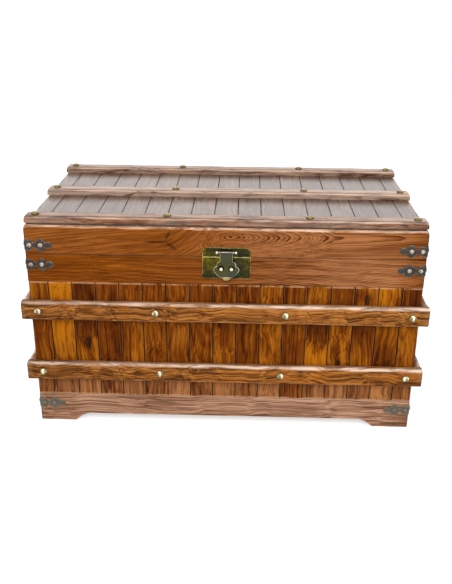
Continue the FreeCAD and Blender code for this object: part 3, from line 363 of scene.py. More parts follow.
def eased(value, low, high, first=0.0, last=1.0):
    bounds = (value, low, high, first, last)
    return shaderNode(value.tree, "MapRange", bounds, interpolation_type="SMOOTHSTEP")


def blend(factor, first, second):
    return shaderNode(factor.tree, "Mix", {0: factor, 6: first, 7: second}, 2, data_type="RGBA")


def cloud(place, stretch, detail, rough):
    # smooth noise about zero, with its coordinates stretched first
    stretched = vectorCalc("MULTIPLY", place, stretch)
    inputs = {"Vector": stretched, "Scale": 1.0, "Detail": detail, "Roughness": rough}
    return shaderNode(place.tree, "TexNoise", inputs, "Fac") - 0.5


def separate(vector):
    node = vector.tree.nodes.new("ShaderNodeSeparateXYZ")
    feed(node.inputs[0], vector)
    return [wire(vector.tree, socket) for socket in node.outputs]


def newGroup(name, vectors, colours, values):
    # a shared effect with presets for its inputs; it puts out a colour, a roughness and a height
    tree = bpy.data.node_groups.new(name, "ShaderNodeTree")
    for kind, presets in (("Vector", vectors), ("Color", colours), ("Float", values)):
        for label, preset in presets.items():
            socket = tree.interface.new_socket(name=label, in_out="INPUT", socket_type="NodeSocket" + kind)
            socket.default_value = preset
    for label, kind in (("Color", "Color"), ("Roughness", "Float"), ("Height", "Float")):
        tree.interface.new_socket(name=label, in_out="OUTPUT", socket_type="NodeSocket" + kind)
    given = {socket.name: wire(tree, socket) for socket in tree.nodes.new("NodeGroupInput").outputs}
    return tree, given, tree.nodes.new("NodeGroupOutput").inputs


# noise in the wood: cycles per metre along, across and through the grain, detail, roughness
woodNoise = {
    "slow": ((7, 30, 30), 2, 0.5), "fine": ((26, 130, 130), 2, 0.5),  # push the rings about
    "fibre": ((22, 900, 900), 3, 0.6), "streak": ((7, 330, 330), 2, 0.55), "stripe": ((4, 130, 130), 2, 0.5),
    "patch": ((9, 24, 24), 3, 0.55), "mottle": ((26, 90, 90), 3, 0.6),  # stain that took unevenly
    "edge": ((18, 60, 60), 2, 0.6), "scorch": ((14, 45, 45), 4, 0.6), "rub": ((12, 30, 30), 3, 0.6),
    "crown": ((16, 60, 60), 4, 0.65),
}
# the three arms of a branched knot, in shares of its size: centre, turn, and half length and width
knotArms = (
    ((-2.4, -0.2), 0.05, (2.8, 0.4)), ((1.3, -1.1), -0.7, (2.0, 0.5)), ((0.6, 1.3), 1.14, (1.7, 0.4)),
)


def buildWoodFigure():
    # growth rings round the pith, fibres, stain patches, knots, rubbed and burnt edges, and painted highlight
    # and shade on the edges, as one colour
    tree, given, result = newGroup("woodFigure", {
        "Place": (0, 0, 0), "Knot": (9, 9, 9), "Share": (0.5, 0.5, 0.5), "Tone": (0, 0, 0), "Edge": (0, 0, 0),
    }, {
        "Light": (0.5, 0.3, 0.1, 1), "Middle": (0.3, 0.15, 0.05, 1), "Dark": (0.1, 0.04, 0.01, 1),
        "Burnt": (0.03, 0.015, 0.01, 1), "Amber": (0.7, 0.35, 0.08, 1), "Rubbed": (0.6, 0.4, 0.25, 1),
        "Painted Highlight": (0.8, 0.6, 0.5, 1),
    }, {
        "Ring Width": 0.003, "Ring Depth": 0.5, "Fibre Depth": 0.3, "Patch Depth": 0.3, "Edge Burn": 0.4,
        "Edge Reach": 0.1, "Edge Rub": 0.0, "End Rub": 0.0, "Painted Highlight Depth": 0.0, "Painted Highlight Drift": 0.0,
        "Painted Shade Depth": 0.0, "Knot Arms": 0.0,
    })
    place, knot = given["Place"], given["Knot"]
    noise = {name: cloud(place, *settings) for name, settings in woodNoise.items()}

    # radius from the pith, pushed about by slow noise and out of the way of a knot
    across, through = separate(place)[1:]
    knotReach = vectorCalc("LENGTH", vectorCalc("MULTIPLY", knot, (0.42, 1, 1)))
    knotPush = calc("POWER", 2.718, knotReach * knotReach * -0.16)
    radius = calc("SQRT", across * across + through * through)
    radius = radius + noise["slow"] * 0.0045 + noise["fine"] * 0.0007 + knotPush * 0.014
    rings = calc("DIVIDE", radius, given["Ring Width"])

    # pale early wood that darkens slowly to a sharp dark line; some rings are stronger than others
    late = calc("FRACT", rings)
    ringShare = shaderNode(tree, "TexWhiteNoise", {"W": calc("FLOOR", rings)}, "Value", noise_dimensions="1D")
    lateWood = calc("POWER", late, 2.2) * eased(late, 1.0, 0.9) * (ringShare * 0.6 + 0.5)
    growth = lateWood + ringShare * 0.2

    # fibres at three widths, and stain at two sizes; a glow of amber where the tone asks for it
    fibres = noise["fibre"] + (noise["streak"] + noise["stripe"]) * 1.8
    stain = noise["patch"] + noise["mottle"] * 0.45
    lightness, amber, scorch = separate(given["Tone"])
    tone = lightness + 0.62 - growth * given["Ring Depth"]
    tone = tone + fibres * given["Fibre Depth"] + stain * given["Patch Depth"]
    wood = blend(eased(tone, 0.0, 0.52), given["Dark"], given["Middle"])
    wood = blend(eased(tone, 0.48, 1.0), wood, given["Light"])
    wood = blend(held(amber, eased(tone + noise["patch"], 0.25, 0.95)), wood, given["Amber"])

    # burnt towards the board's long edges and its ends, in knots, and where the tone asks for it
    shareAlong, shareAcross = separate(given["Share"])[:2]
    fromEdge = calc("MINIMUM", shareAcross, 1.0 - shareAcross)
    fromEnd = calc("MINIMUM", shareAlong, 1.0 - shareAlong)
    burn = eased(fromEdge + noise["edge"] * 0.2, given["Edge Reach"], 0.0) * given["Edge Burn"]
    scorched = eased(scorch + noise["scorch"] * 1.6 * scorch, 0.1, 1.0)
    heart = eased(knotReach + noise["fine"] * 0.8, 1.3, 0.5) * (1.0 - given["Knot Arms"] * 0.9)
    for centre, turn, size in knotArms:
        fromArm = {"Vector": vectorCalc("SUBTRACT", knot, (*centre, 0.0)), "Angle": -turn}
        alongArm = shaderNode(tree, "VectorRotate", fromArm, rotation_type="Z_AXIS")
        armReach = vectorCalc("LENGTH", vectorCalc("DIVIDE", alongArm, (*size, 5.0)))
        heart = calc("MAXIMUM", heart, eased(armReach + noise["fine"], 1.25, 0.3) * given["Knot Arms"])
    burn = calc("MAXIMUM", burn, scorched * 0.85)
    burn = calc("MAXIMUM", burn, heart * 0.85, clamp=True)
    burn = calc("MAXIMUM", burn, eased(fromEnd, 0.004, 0.0) * 0.75)
    wood = blend(burn, wood, given["Burnt"])

    # rubbed pale along the edges and at the ends, and pale where the scorch is below 0, which on the middle
    # and back lid battens is a painted sheen
    edgeRub = eased(fromEdge, 0.05, 0.015) * eased(noise["rub"], -0.08, 0.12)
    wood = blend(held(edgeRub, given["Edge Rub"]), wood, given["Rubbed"])
    endRub = eased(fromEnd, 0.016, 0.006) * eased(noise["rub"], -0.15, 0.05)
    wood = blend(held(endRub, given["End Rub"]), wood, given["Rubbed"])
    wood = blend(held(held(scorch, -1.0), eased(tone, -0.1, 0.9)), wood, given["Rubbed"])

    # highlight painted bright on the rounded edges, more towards the far end, and shade painted dark in the
    # joints and under the edges
    highlightShare, dark = separate(given["Edge"])[:2]
    highlightBreaks = eased(noise["crown"], -0.16, 0.14, 0.15, 1.0)
    highlightTrend = 1.0 + given["Painted Highlight Drift"] * (shareAlong - 1.0)
    # painted shade: the dark edge marks darken the V joints, the seams and the undersides of the battens
    wood = blend(held(dark, given["Painted Shade Depth"]), wood, given["Burnt"])
    # painted highlight: the pale edge marks blend to a bright colour on the rounded edges
    wood = blend(held(highlightShare * given["Painted Highlight Depth"], highlightBreaks * highlightTrend), wood, given["Painted Highlight"])
    feed(result["Color"], wood)
    feed(result["Roughness"], 0.4 + lateWood * -0.08 + calc("ABSOLUTE", noise["fibre"]) * 0.5)
    feed(result["Height"], noise["fibre"] * 0.8 + lateWood * 0.5 + noise["streak"] * 0.6)
    return tree


def buildMetalWear():
    # rubbed crowns and rims, grime in the low places, and a blotchy patina between them; on nail heads and
    # the hasp's eye the same levels also paint highlight and shade
    tree, given, result = newGroup("metalWearAndLight", {"Place": (0, 0, 0)}, {
        "Plain": (0.3, 0.3, 0.3, 1), "Rubbed": (0.8, 0.8, 0.8, 1), "Grime": (0.02, 0.02, 0.02, 1),
        "Patina": (0.1, 0.1, 0.02, 1),
    }, {"Wear": 0.5, "Patina Depth": 0.0, "Blotch": 0.3, "Polish": 0.3})
    broad = cloud(given["Place"], (90, 90, 90), 3, 0.6)
    small = cloud(given["Place"], (600, 600, 600), 2, 0.6)
    tarnish = cloud(given["Place"], (34, 34, 34), 2, 0.5)
    level = given["Wear"] + (broad + small) * given["Blotch"]
    plain = blend(eased(tarnish, -0.1, 0.12) * given["Patina Depth"], given["Plain"], given["Patina"])
    metal = blend(eased(level, 0.05, 0.45), given["Grime"], plain)
    feed(result["Color"], blend(eased(level, 0.55, 0.95), metal, given["Rubbed"]))
    feed(result["Roughness"], calc("MAXIMUM", given["Polish"] + 0.22 - level * 0.25, 0.12))
    feed(result["Height"], broad + small * 0.5)
    return tree


woodFigure = buildWoodFigure()
metalWearAndLight = buildMetalWear()


def attributeOf(name, output="Vector"):
    return lambda tree: shaderNode(tree, "Attribute", (), output, attribute_name=name)


def objectPlace(tree):
    return shaderNode(tree, "TexCoord", (), "Object")


def newMaterial(
    name, group, settings, coat=0.0, coatRough=0.2, gloss=0.5, metallic=0.0, bump=0.3, depth=0.3,
):
    # settings are fixed values, or functions that add a node to the material's tree
    material = bpy.data.materials.new(name)
    material.use_nodes = True
    tree = material.node_tree
    figure = tree.nodes.new("ShaderNodeGroup")
    figure.node_tree = group
    for label, value in settings.items():
        feed(figure.inputs[label], value(tree) if callable(value) else value)
    colour, rough, height = (wire(tree, figure.outputs[label]) for label in ("Color", "Roughness", "Height"))
    relief = {"Strength": bump, "Distance": depth * mm, "Height": height}
    for label, value in (
        ("Base Color", colour), ("Roughness", rough), ("Normal", shaderNode(tree, "Bump", relief, "Normal")),
        ("Metallic", metallic), ("Specular IOR Level", gloss), ("Coat Weight", coat),
        ("Coat Roughness", coatRough),
    ):
        feed(tree.nodes["Principled BSDF"].inputs[label], value)
    return material


woodColours = ("Light", "Middle", "Dark", "Burnt", "Amber", "Rubbed")
woodDepths = ("Ring Depth", "Fibre Depth", "Patch Depth", "Edge Burn", "Edge Reach", "Edge Rub", "End Rub")
paintedLightAndKnotDepths = ("Painted Highlight Depth", "Painted Highlight Drift", "Painted Shade Depth", "Knot Arms")


def plankWood(name, colours, ringWidth, depths, crown, paintedLightAndKnots, coat, coatRough, gloss=0.0):
    # the colours and depths are in the order of the three lists above; crown is the colour of the highlight
    # painted on the rounded edges
    return newMaterial(name, woodFigure, {
        "Place": attributeOf("grainPlace"), "Knot": attributeOf("knotPlace"),
        "Tone": attributeOf("toneShift"), "Share": attributeOf("plankShare"),
        "Edge": attributeOf("edgeHighlightShade"), "Ring Width": ringWidth * mm,
        "Painted Highlight": tint(*crown), **{label: tint(*colour) for label, colour in zip(woodColours, colours)},
        **dict(zip(woodDepths, depths)), **dict(zip(paintedLightAndKnotDepths, paintedLightAndKnots)),
    }, coat=coat, coatRough=coatRough, gloss=gloss)


def wornMetal(name, plain, rubbedAndLit, grime, blotch, polish, patina=(0, 0, 0), patinaDepth=0.0, **finish):
    return newMaterial(name, metalWearAndLight, {
        "Place": objectPlace, "Wear": attributeOf("wearShare", "Fac"), "Plain": tint(*plain),
        "Rubbed": tint(*rubbedAndLit), "Grime": tint(*grime), "Patina": tint(*patina), "Patina Depth": patinaDepth,
        "Blotch": blotch, "Polish": polish,
    }, **finish)


railWood = plankWood(
    "railWood",
    ((172, 100, 30), (134, 70, 12), (90, 41, 5), (48, 22, 8), (192, 96, 8), (208, 146, 102)),
    2.6, (1.15, 0.55, 0.5, 0.2, 0.05, 0.2, 0.0), (255, 212, 178), (1.0, 0.3, 0.5, 0.8), 0.05, 0.25,
)
slatWood = plankWood(
    "slatWood",
    ((168, 98, 28), (122, 60, 8), (76, 29, 4), (36, 16, 8), (206, 124, 10), (222, 168, 122)),
    4.2, (0.3, 0.75, 0.85, 0.35, 0.1, 0.0, 0.6), (206, 142, 80), (0.75, 0.0, 0.95, 0.0), 0.05, 0.22,
)
battenWood = plankWood(
    "battenWood",
    ((200, 136, 70), (148, 90, 38), (86, 46, 16), (44, 20, 8), (204, 114, 24), (214, 164, 120)),
    3.0, (0.4, 1.35, 0.85, 0.4, 0.1, 0.1, 0.2), (255, 224, 198), (1.35, 0.45, 0.6, 0.0), 0.1, 0.3,
)
plinthWood = plankWood(
    "plinthWood",
    ((214, 166, 134), (168, 122, 92), (110, 76, 56), (52, 38, 32), (186, 120, 60), (226, 184, 156)),
    3.2, (0.5, 1.0, 0.5, 0.25, 0.08, 0.4, 0.0), (230, 188, 160), (0.8, 0.0, 0.5, 0.0), 0.1, 0.3,
)
# the lid wood's grey-mauve colours are partly its own weathered tone and partly a painted sheen of the
# varnish on the top
lidWood = plankWood(
    "lidWood",
    ((140, 112, 94), (98, 74, 60), (60, 40, 32), (36, 24, 20), (176, 116, 70), (190, 156, 132)),
    2.8, (0.3, 0.5, 0.7, 0.4, 0.08, 0.3, 0.0), (190, 156, 132), (0.3, 0.0, 0.8, 0.0), 0.44, 0.25, 0.3,
)
# its pale grey rubbed colour also paints the battens' sheen where their scorch is below 0
lidBattenWood = plankWood(
    "lidBattenWood",
    ((164, 106, 66), (120, 72, 42), (76, 44, 26), (50, 28, 18), (170, 104, 40), (204, 182, 164)),
    2.0, (0.5, 1.1, 0.6, 0.0, 0.1, 0.2, 0.0), (250, 212, 186), (0.9, 0.3, 0.9, 0.0), 0.5, 0.25,
)
innerWood = newMaterial("innerWood", woodFigure, {
    "Place": lambda tree: vectorCalc("ADD", objectPlace(tree), (0.0, 0.09, 0.05)),
    "Light": tint(176, 120, 76), "Middle": tint(136, 86, 50), "Dark": tint(92, 54, 30),
    "Burnt": tint(50, 30, 20), "Ring Width": 3.5 * mm, "Ring Depth": 0.35, "Fibre Depth": 0.25,
    "Patch Depth": 0.2, "Edge Burn": 0.0,
}, coat=0.05, coatRough=0.4, gloss=0.3)

# plain, rubbed and grime colours, blotches, polish, and for some the colour and depth of a patina; on nail
# heads the rubbed and grime colours also carry painted highlight and shade
nailBrass = wornMetal(
    "nailBrass", (138, 122, 78), (255, 244, 212), (48, 42, 16), 0.4, 0.3, metallic=0.4, bump=0.2, depth=0.2,
)
lidBrass = wornMetal(
    "lidBrass", (124, 104, 62), (176, 156, 104), (66, 54, 28), 0.5, 0.3, metallic=0.4, bump=0.2, depth=0.2,
)
strapBrass = wornMetal(
    "strapBrass", (136, 121, 104), (198, 182, 162), (84, 70, 52), 0.7, 0.4,
    metallic=0.35, bump=0.2, depth=0.2,
)
strapIron = wornMetal(
    "strapIron", (72, 60, 54), (136, 126, 114), (30, 25, 26), 1.1, 0.36, (54, 66, 60), 0.75,
    metallic=0.5, bump=0.35,
)
# paler and flatter than the other straps' iron: a painted reflection that washes out the same iron on the
# foot straps and their nails
footIron = wornMetal(
    "footIron", (106, 98, 82), (126, 116, 98), (86, 76, 62), 0.5, 0.5, metallic=0.2, bump=0.35,
)
latchBrass = wornMetal(
    "latchBrass", (48, 50, 24), (214, 196, 124), (24, 25, 14), 0.6, 0.34, (104, 90, 2), 0.9,
    metallic=0.85, bump=0.25, depth=0.2,
)
haspIron = wornMetal(
    "haspIron", (64, 68, 54), (214, 200, 152), (30, 32, 22), 0.5, 0.32, (70, 68, 14), 0.8,
    metallic=0.6, bump=0.25, depth=0.2,
)
pinSteel = wornMetal(
    "pinSteel", (120, 112, 102), (216, 208, 196), (52, 46, 42), 0.25, 0.2, metallic=0.9, bump=0.1, depth=0.1,
)
print("finishes made")

innerPieces = ("corner_posts", "bottom_cleats", "bottom_panel", "lid_panel")
for node in (*innerPieces, *(f"panel_{wall}" for wall in walls)):
    nodes[node].material_slots[0].material = innerWood


# skirt boards with a foot at each end

skirt = {
    "foot": 66, "slope": 29, "cut": 16,  # flat foot, run of the curve, and height of the cut-out
    "edges": (0.8, 1.2, 1.8, 0.8), "steps": 3, "fill": 3, "ease": 1.2, "wave": 0.12, "every": 16,
    # marks: a painted highlight on the top front arris, and painted shade where its round meets the top face
    "marks": {2: ((0, 0.5, 0.9, 0), (0, 0, 0, 1))},
    "grain": {
        "fine": 1.5, "depth": 60, "side": 52, "drift": 4, "driftLength": 400, "swell": 4, "swellLength": 500,
        "tilt": 0.02,
    },
    "tone": {
        "front": (
            (0, -0.14, 0.0, 0.12), (90, 0.0, 0.0, -0.1), (300, -0.04, 0.0, -0.05), (420, 0.02, 0.0, -0.2),
            (600, 0.0, 0.0, -0.25), (660, -0.1, 0.0, 0.0), (700, -0.2, 0.0, 0.2),
        ),
        "right": ((0, -0.05, 0.0, 0.1),), "back": ((0, -0.05, 0.05, 0.1),), "left": ((0, -0.02, 0.0, 0.1),),
    },
}


def skirtEdge(fromCorner):
    # height of the lower edge: 0 on the foot, then cut (1 - (1 - t)^1.7) over the slope, level after it
    share = np.clip((fromCorner - skirt["foot"]) / skirt["slope"], 0, 1)
    return skirt["cut"] * (1 - (1 - share) ** 1.7)


for number, wall in enumerate(walls):
    node = f"plinth_{wall}"
    start, along, out, length, height, thick = wallPlace(node, wall)
    lead = 0 if wall in ("front", "back") else thick  # the end boards start one board in from the corner
    curve = np.linspace(skirt["foot"], skirt["foot"] + skirt["slope"], 14) - lead
    stations = spread(length, skirt, curve, length - curve)
    fromCorner = np.minimum(stations, length - stations) + lead
    section = rectangle(stations, height, thick, skirtEdge(fromCorner))
    grain = {"seed": 11 + number, **skirt["grain"]}
    shape = plank((start, along, upward, out), stations, section, skirt, grain, skirt["tone"][wall])
    makePiece(node, shape, "base", "plinth_wood", plinthWood)


# upright slats between skirt and rail

slats = {
    "pitch": 42, "endLeast": 25, "gap": 0.4,
    "edges": (0.3, 1.9, 1.9, 0.3), "steps": 4, "fill": 2, "ease": 0.8, "wave": 0.1, "every": 18,
    # marks: painted shade in the V joints between slats, and a painted highlight on the arrises beside them;
    # the lid slats share these
    "marks": {1: ((0, 0, 0, 0.7, 0), (1, 1, 0.5, 0, 0)), 2: ((0, 0.7, 0, 0, 0), (0, 0, 0.5, 1, 1))},
    "levels": (0, 42, 66, 96, 136, 160, 190, 229),  # heights at which the stains hold, two for each stretch
}
# how one stretch of a slat was stained: lightness, amber glow, scorch
stains = {
    "bright": (0.2, 0.7, 0.0), "warm": (0.05, 0.32, 0.0), "plain": (-0.08, 0.12, 0.06),
    "dull": (-0.17, 0.0, 0.18), "dark": (-0.28, 0.0, 0.4),
}
# the front slats from left to right: foot, lower and upper middle, and top
frontStains = (
    "dull plain plain warm", "plain warm bright bright", "warm warm dark dark", "dull dull dull dull",
    "warm warm plain plain", "dull plain plain plain", "warm dull plain plain", "dull plain plain dull",
    "plain warm plain plain", "dull plain plain plain", "plain warm warm warm", "dark dull plain dull",
    "plain bright dark warm", "warm warm warm dull", "plain warm dark warm", "bright dark warm bright",
    "dull plain warm dark",
)
frontKnots = {3: (110, 24, 7), 9: (150, 12, 4), 14: (74, 20, 6), 15: (205, 22, 6)}  # slat: up, across, size
otherStains = ("bright", "warm", "warm", "plain", "plain", "plain", "dull", "dull", "dark")


def stainedTone(words):
    rows = np.repeat([stains[word] for word in words], 2, axis=0)
    rows[:2] = rows[:2] * 0.6 + (0.04, -0.1, -0.3)  # the foot is scuffed pale
    return np.column_stack([slats["levels"], rows])


def stripBounds(run):
    # as many whole slats of one pitch as the run holds beside two end strips of a least width
    count = int((run - 2 * slats["endLeast"]) // slats["pitch"])
    first = (run - count * slats["pitch"]) / 2
    edges = np.concatenate([[0], first + slats["pitch"] * np.arange(count + 1), [run]])
    return enumerate(zip(edges[:-1], edges[1:]), 1)


def slatGrain(seed):
    # every slat is cut from another place in the log: near its heart the rings arch, and further out they
    # run straight
    draw = np.random.default_rng(seed)
    return {
        "seed": seed, "depth": draw.uniform(12, 60), "side": draw.uniform(-34, 34),
        "tilt": draw.uniform(-0.09, 0.09), "drift": draw.uniform(1, 5), "swell": draw.uniform(2, 8),
        "swellLength": 240, "driftLength": 190,
    }


for wallNumber, wall in enumerate(walls, 1):
    node = f"slats_{wall}"
    start, run, out, length, height, thick = wallPlace(node, wall)
    stations = spread(height, slats)
    strips = []
    for number, (low, high) in stripBounds(length):
        seed = 100 * wallNumber + number
        corner = np.array(start) + np.array(run) * (low + slats["gap"] / 2) * mm
        grain = slatGrain(seed)
        if wall == "front":
            words = frontStains[number - 1].split()
            if number in frontKnots:
                grain["knot"] = frontKnots[number]
        else:
            words = np.random.default_rng(seed + 5000).choice(otherStains, 4)
        section = rectangle(stations, high - low - slats["gap"], thick)
        strips.append(plank((corner, upward, run, out), stations, section, slats, grain, stainedTone(words)))
    makePiece(node, joined(strips), "base", "slat_wood", slatWood)


# top rails of the base

rails = {
    "edges": (0.6, 1.0, 1.1, 0.8), "steps": 3, "fill": 3, "ease": 1.0, "wave": 0.12, "every": 18,
    "marks": {2: ((0, 0, 0, 0), (0.2, 0.8, 0.8, 0.5))},  # painted shade in the seam under the lid
    "grain": {
        "fine": 1.4, "depth": 50, "side": -56, "drift": 3, "driftLength": 400, "swell": 4, "swellLength": 420,
        "tilt": 0.02,
    },
    "tone": {  # a scorch below 0 turns it pale and pink
        "front": (
            (0, 0.04, 0.25, 0.0), (120, 0.07, 0.3, 0.0), (300, 0.05, 0.15, -0.06), (420, 0.04, 0.0, -0.3),
            (560, 0.15, 0.0, -0.65), (640, 0.17, 0.1, -0.6), (700, 0.06, 0.3, -0.15),
        ),
        "right": ((0, -0.06, 0.0, 0.05),), "back": ((0, -0.04, 0.05, 0.05),),
        "left": ((0, -0.05, 0.0, 0.05),),
    },
}

for number, wall in enumerate(walls):
    node = f"rail_{wall}"
    start, along, out, length, height, thick = wallPlace(node, wall)
    stations = spread(length, rails)
    section = rectangle(stations, height, thick)
    grain = {"seed": 31 + number, **rails["grain"]}
    shape = plank((start, along, upward, out), stations, section, rails, grain, rails["tone"][wall])
    makePiece(node, shape, "base", "rail_wood", railWood)


# battens round the base

bands = {
    "edges": (0.6, 4.0, 5.4, 0.6), "steps": 5, "fill": 2, "ease": 1.6, "wave": 0.2, "every": 16,
    # marks: a painted highlight over the top front round and onto the top face; painted shade under the band,
    # and a faint painted highlight on its lower arris
    "marks": {
        1: ((0, 0, 0.2, 0.25, 0, 0, 0, 0), (0.6, 0.3, 0, 0, 0, 0.15, 0.1, 0)),
        2: ((0, 0.3, 0.9, 1, 0.95, 0.6, 0.3, 0.25), (0, 0, 0, 0, 0, 0, 0, 0)),
    },
    "grain": {
        "fine": 1.8, "depth": 34, "side": 26, "drift": 5, "swell": 6, "swellLength": 260, "tilt": 0.015,
    },
    "tone": {
        "upper": (
            (0, -0.2, 0.05, 0.15), (120, -0.12, 0.2, 0.05), (270, 0.0, 0.3, 0.0), (500, 0.02, 0.25, 0.0),
            (728, -0.04, 0.2, 0.0),
        ),
        "lower": (
            (0, -0.22, 0.0, 0.1), (160, -0.13, 0.1, 0.05), (330, -0.03, 0.4, 0.0), (500, -0.06, 0.5, 0.0),
            (728, -0.1, 0.45, 0.0),
        ),
    },
}

for level, firstSeed in (("upper", 51), ("lower", 61)):
    for number, wall in enumerate(walls):
        node = f"batten_{level}_{wall}"
        start, along, out, length, height, thick = wallPlace(node, wall)
        stations = spread(length, bands)
        section = rectangle(stations, height, thick)
        grain = {"seed": firstSeed + number, **bands["grain"]}
        shape = plank((start, along, upward, out), stations, section, bands, grain, bands["tone"][level])
        makePiece(node, shape, "base", "batten_wood", battenWood)
print("base boards, slats and battens made")


# rim boards of the lid, stepped inside for the panel and the slats

rim = {
    "height": 51.7,  # the frame's box is a hair lower, because the ledge cuts the last of the arris away
    "arris": 5, "slatLedge": 4.5, "panelLedge": 10, "slatSeat": 47.7, "panelSeat": 41.7,
    "edges": (0.6, 1.0, 4.2, 0.12, 0.12, 0.12, 0.12, 0.12), "steps": 4, "fill": 2, "ease": 0.9, "wave": 0.08,
    "every": 18, "end": 1.0,
    # marks: painted shade on the bottom front edge at the seam with the rail, and a painted highlight on the
    # top front arris and the ledge behind it
    "marks": {
        1: ((0, 0, 0, 0, 0), (0.4, 0.75, 0.8, 0.6, 0.1)), 2: ((0, 1, 1, 1, 1, 1, 1), (0, 0, 0, 0, 0, 0, 0)),
    },
    "tone": {
        "front": (
            (0, 0.2, 0.15, -0.12), (110, 0.2, 0.2, -0.1), (250, 0.2, 0.25, -0.04), (330, 0.22, 0.15, -0.16),
            (400, 0.22, 0.05, -0.4), (520, 0.18, 0.0, -0.46), (600, 0.1, 0.0, -0.46), (660, 0.02, 0.0, -0.34),
            (700, -0.04, 0.05, -0.2),
        ),
        "right": ((0, -0.04, 0.0, 0.05),), "back": ((0, -0.02, 0.05, 0.0),), "left": ((0, -0.03, 0.0, 0.05),),
    },
    "grain": {
        "front": {
            "seed": 71, "fine": 2.1, "drift": 1.0, "driftLength": 300, "swell": 1.5, "knot": (246, 27, 7.5),
            # arches in a row where the heart dives, and straight grain where it lies beside the board
            "depthPath": ((0, 40), (305, 26), (345, 8), (365, 8), (530, 33), (700, 35)),
            "sidePath": ((0, -60), (250, -36), (325, 6), (350, 10), (540, 11), (700, 15)),
        },
        "right": {"seed": 72, "fine": 1.4, "side": 52},
        "back": {"seed": 73, "fine": 1.4, "side": -48, "swell": 4},
        "left": {"seed": 74, "fine": 1.4, "side": -50, "depth": 44},
    },
}
hair = 0.002  # keeps the corners of a cut from falling together

for wall in walls:
    node = f"lid_{wall}_board"
    start, along, out, length, _, thick = wallPlace(node, wall)
    fullEnds = wall in ("front", "back")  # these two reach the corners, and their ends aren't stepped
    ledge, panelLedge = rim["slatLedge"], rim["panelLedge"]
    stations = spread(length, rim, endSpread(length, rim["arris"]), [ledge, length - ledge])
    if fullEnds:
        stations = np.sort(np.concatenate([stations, [ledge + 0.001, length - ledge - 0.001]]))
    inset = np.minimum(stations, length - stations)
    top = rim["height"] - (quarterDrop(inset, rim["arris"]) if fullEnds else 0)
    whole = (inset <= ledge + 1e-6) & fullEnds
    slatSeat = np.where(whole, top - hair, rim["slatSeat"])
    panelSeat = np.where(whole, top - 2 * hair, rim["panelSeat"])
    section = sectionAt(
        stations, (0, -thick), (0, 0), (top, 0), (top, -ledge), (slatSeat, -ledge - hair),
        (slatSeat, -panelLedge), (panelSeat, -panelLedge - hair), (panelSeat, -thick),
    )
    place = (start, along, upward, out)
    shape = plank(place, stations, section, rim, rim["grain"][wall], rim["tone"][wall])
    makePiece(node, shape, "lid", "rail_wood", railWood)


# lid slats from front to back, and the three battens over them

lidSlats = {**slats, "edges": (0.3, 1.7, 1.7, 0.3), "every": 24}
low, high = np.array(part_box("lid_slats"))
across, length, thick = (high - low) * 1000
stations = spread(length, lidSlats)
strips = []
for number, (first, last) in stripBounds(across):
    corner = (low[0] + (first + slats["gap"] / 2) * mm, low[1], high[2])
    draw = np.random.default_rng(900 + number)
    tone = ((0, draw.uniform(-0.14, 0.12), draw.uniform(0, 0.15), draw.uniform(0, 0.15)),)
    section = rectangle(stations, last - first - slats["gap"], thick)
    place = (corner, (0, 1, 0), (1, 0, 0), upward)
    strips.append(plank(place, stations, section, lidSlats, slatGrain(900 + number), tone))
makePiece("lid_slats", joined(strips), "lid", "lid_wood", lidWood)

lidBattens = {
    "round": 4.5,  # of the ends, seen from the front
    "edges": (0.4, 4.4, 4.4, 0.4), "steps": 5, "fill": 2, "ease": 0.6, "wave": 0.15, "every": 18, "end": 1.0,
    # marks: a painted highlight over the front round and onto the top face with a painted dark reflection
    # line between them, and a painted highlight on the back round
    "marks": {
        1: ((0, 0.4, 1, 0.9, 0.1, 0.35, 0.6, 0.6), (0, 0, 0, 0, 0.9, 0.1, 0, 0)),
        2: ((0.6, 0.6, 0.8, 0.6, 0, 0), (0, 0, 0, 0, 0, 0)),
    },
    "grain": {"depth": 30, "side": 8, "drift": 4, "swell": 6},
    # a scorch below 0 turns the middle and back battens pale and grey: painted sheen of their varnish
    "tone": {"front": (0.05, 0.05, -0.05), "middle": (0.18, 0.0, -0.7), "back": (0.06, -0.1, -0.42)},
}
for number, (name, tone) in enumerate(lidBattens["tone"].items()):
    node = f"lid_batten_{name}"
    low, high = np.array(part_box(node))
    length, across, thick = (high - low) * 1000
    stations = spread(length, lidBattens, endSpread(length, lidBattens["round"]))
    drop = quarterDrop(np.minimum(stations, length - stations), lidBattens["round"])
    section = sectionAt(stations, (0, -thick), (0, -drop), (across, -drop), (across, -thick))
    grain = {"seed": 81 + number, **lidBattens["grain"]}
    place = ((low[0], low[1], high[2]), (1, 0, 0), (0, 1, 0), upward)
    shape = plank(place, stations, section, lidBattens, grain, ((0, *tone),))
    makePiece(node, shape, "lid", "lid_wood", lidBattenWood)
print("lid boards, slats and battens made")


# turned and swept metal

wallX, wallY = 350, 190  # outer faces of the boards, from the middle of the chest


def basis(direction):
    # two directions square to the given one
    direction = unit(np.array(direction, float))
    helper = np.array([0, 0, 1.0]) if abs(direction[2]) < 0.9 else np.array([1.0, 0, 0])
    first = unit(np.cross(helper, direction))
    return first, np.cross(direction, first), direction


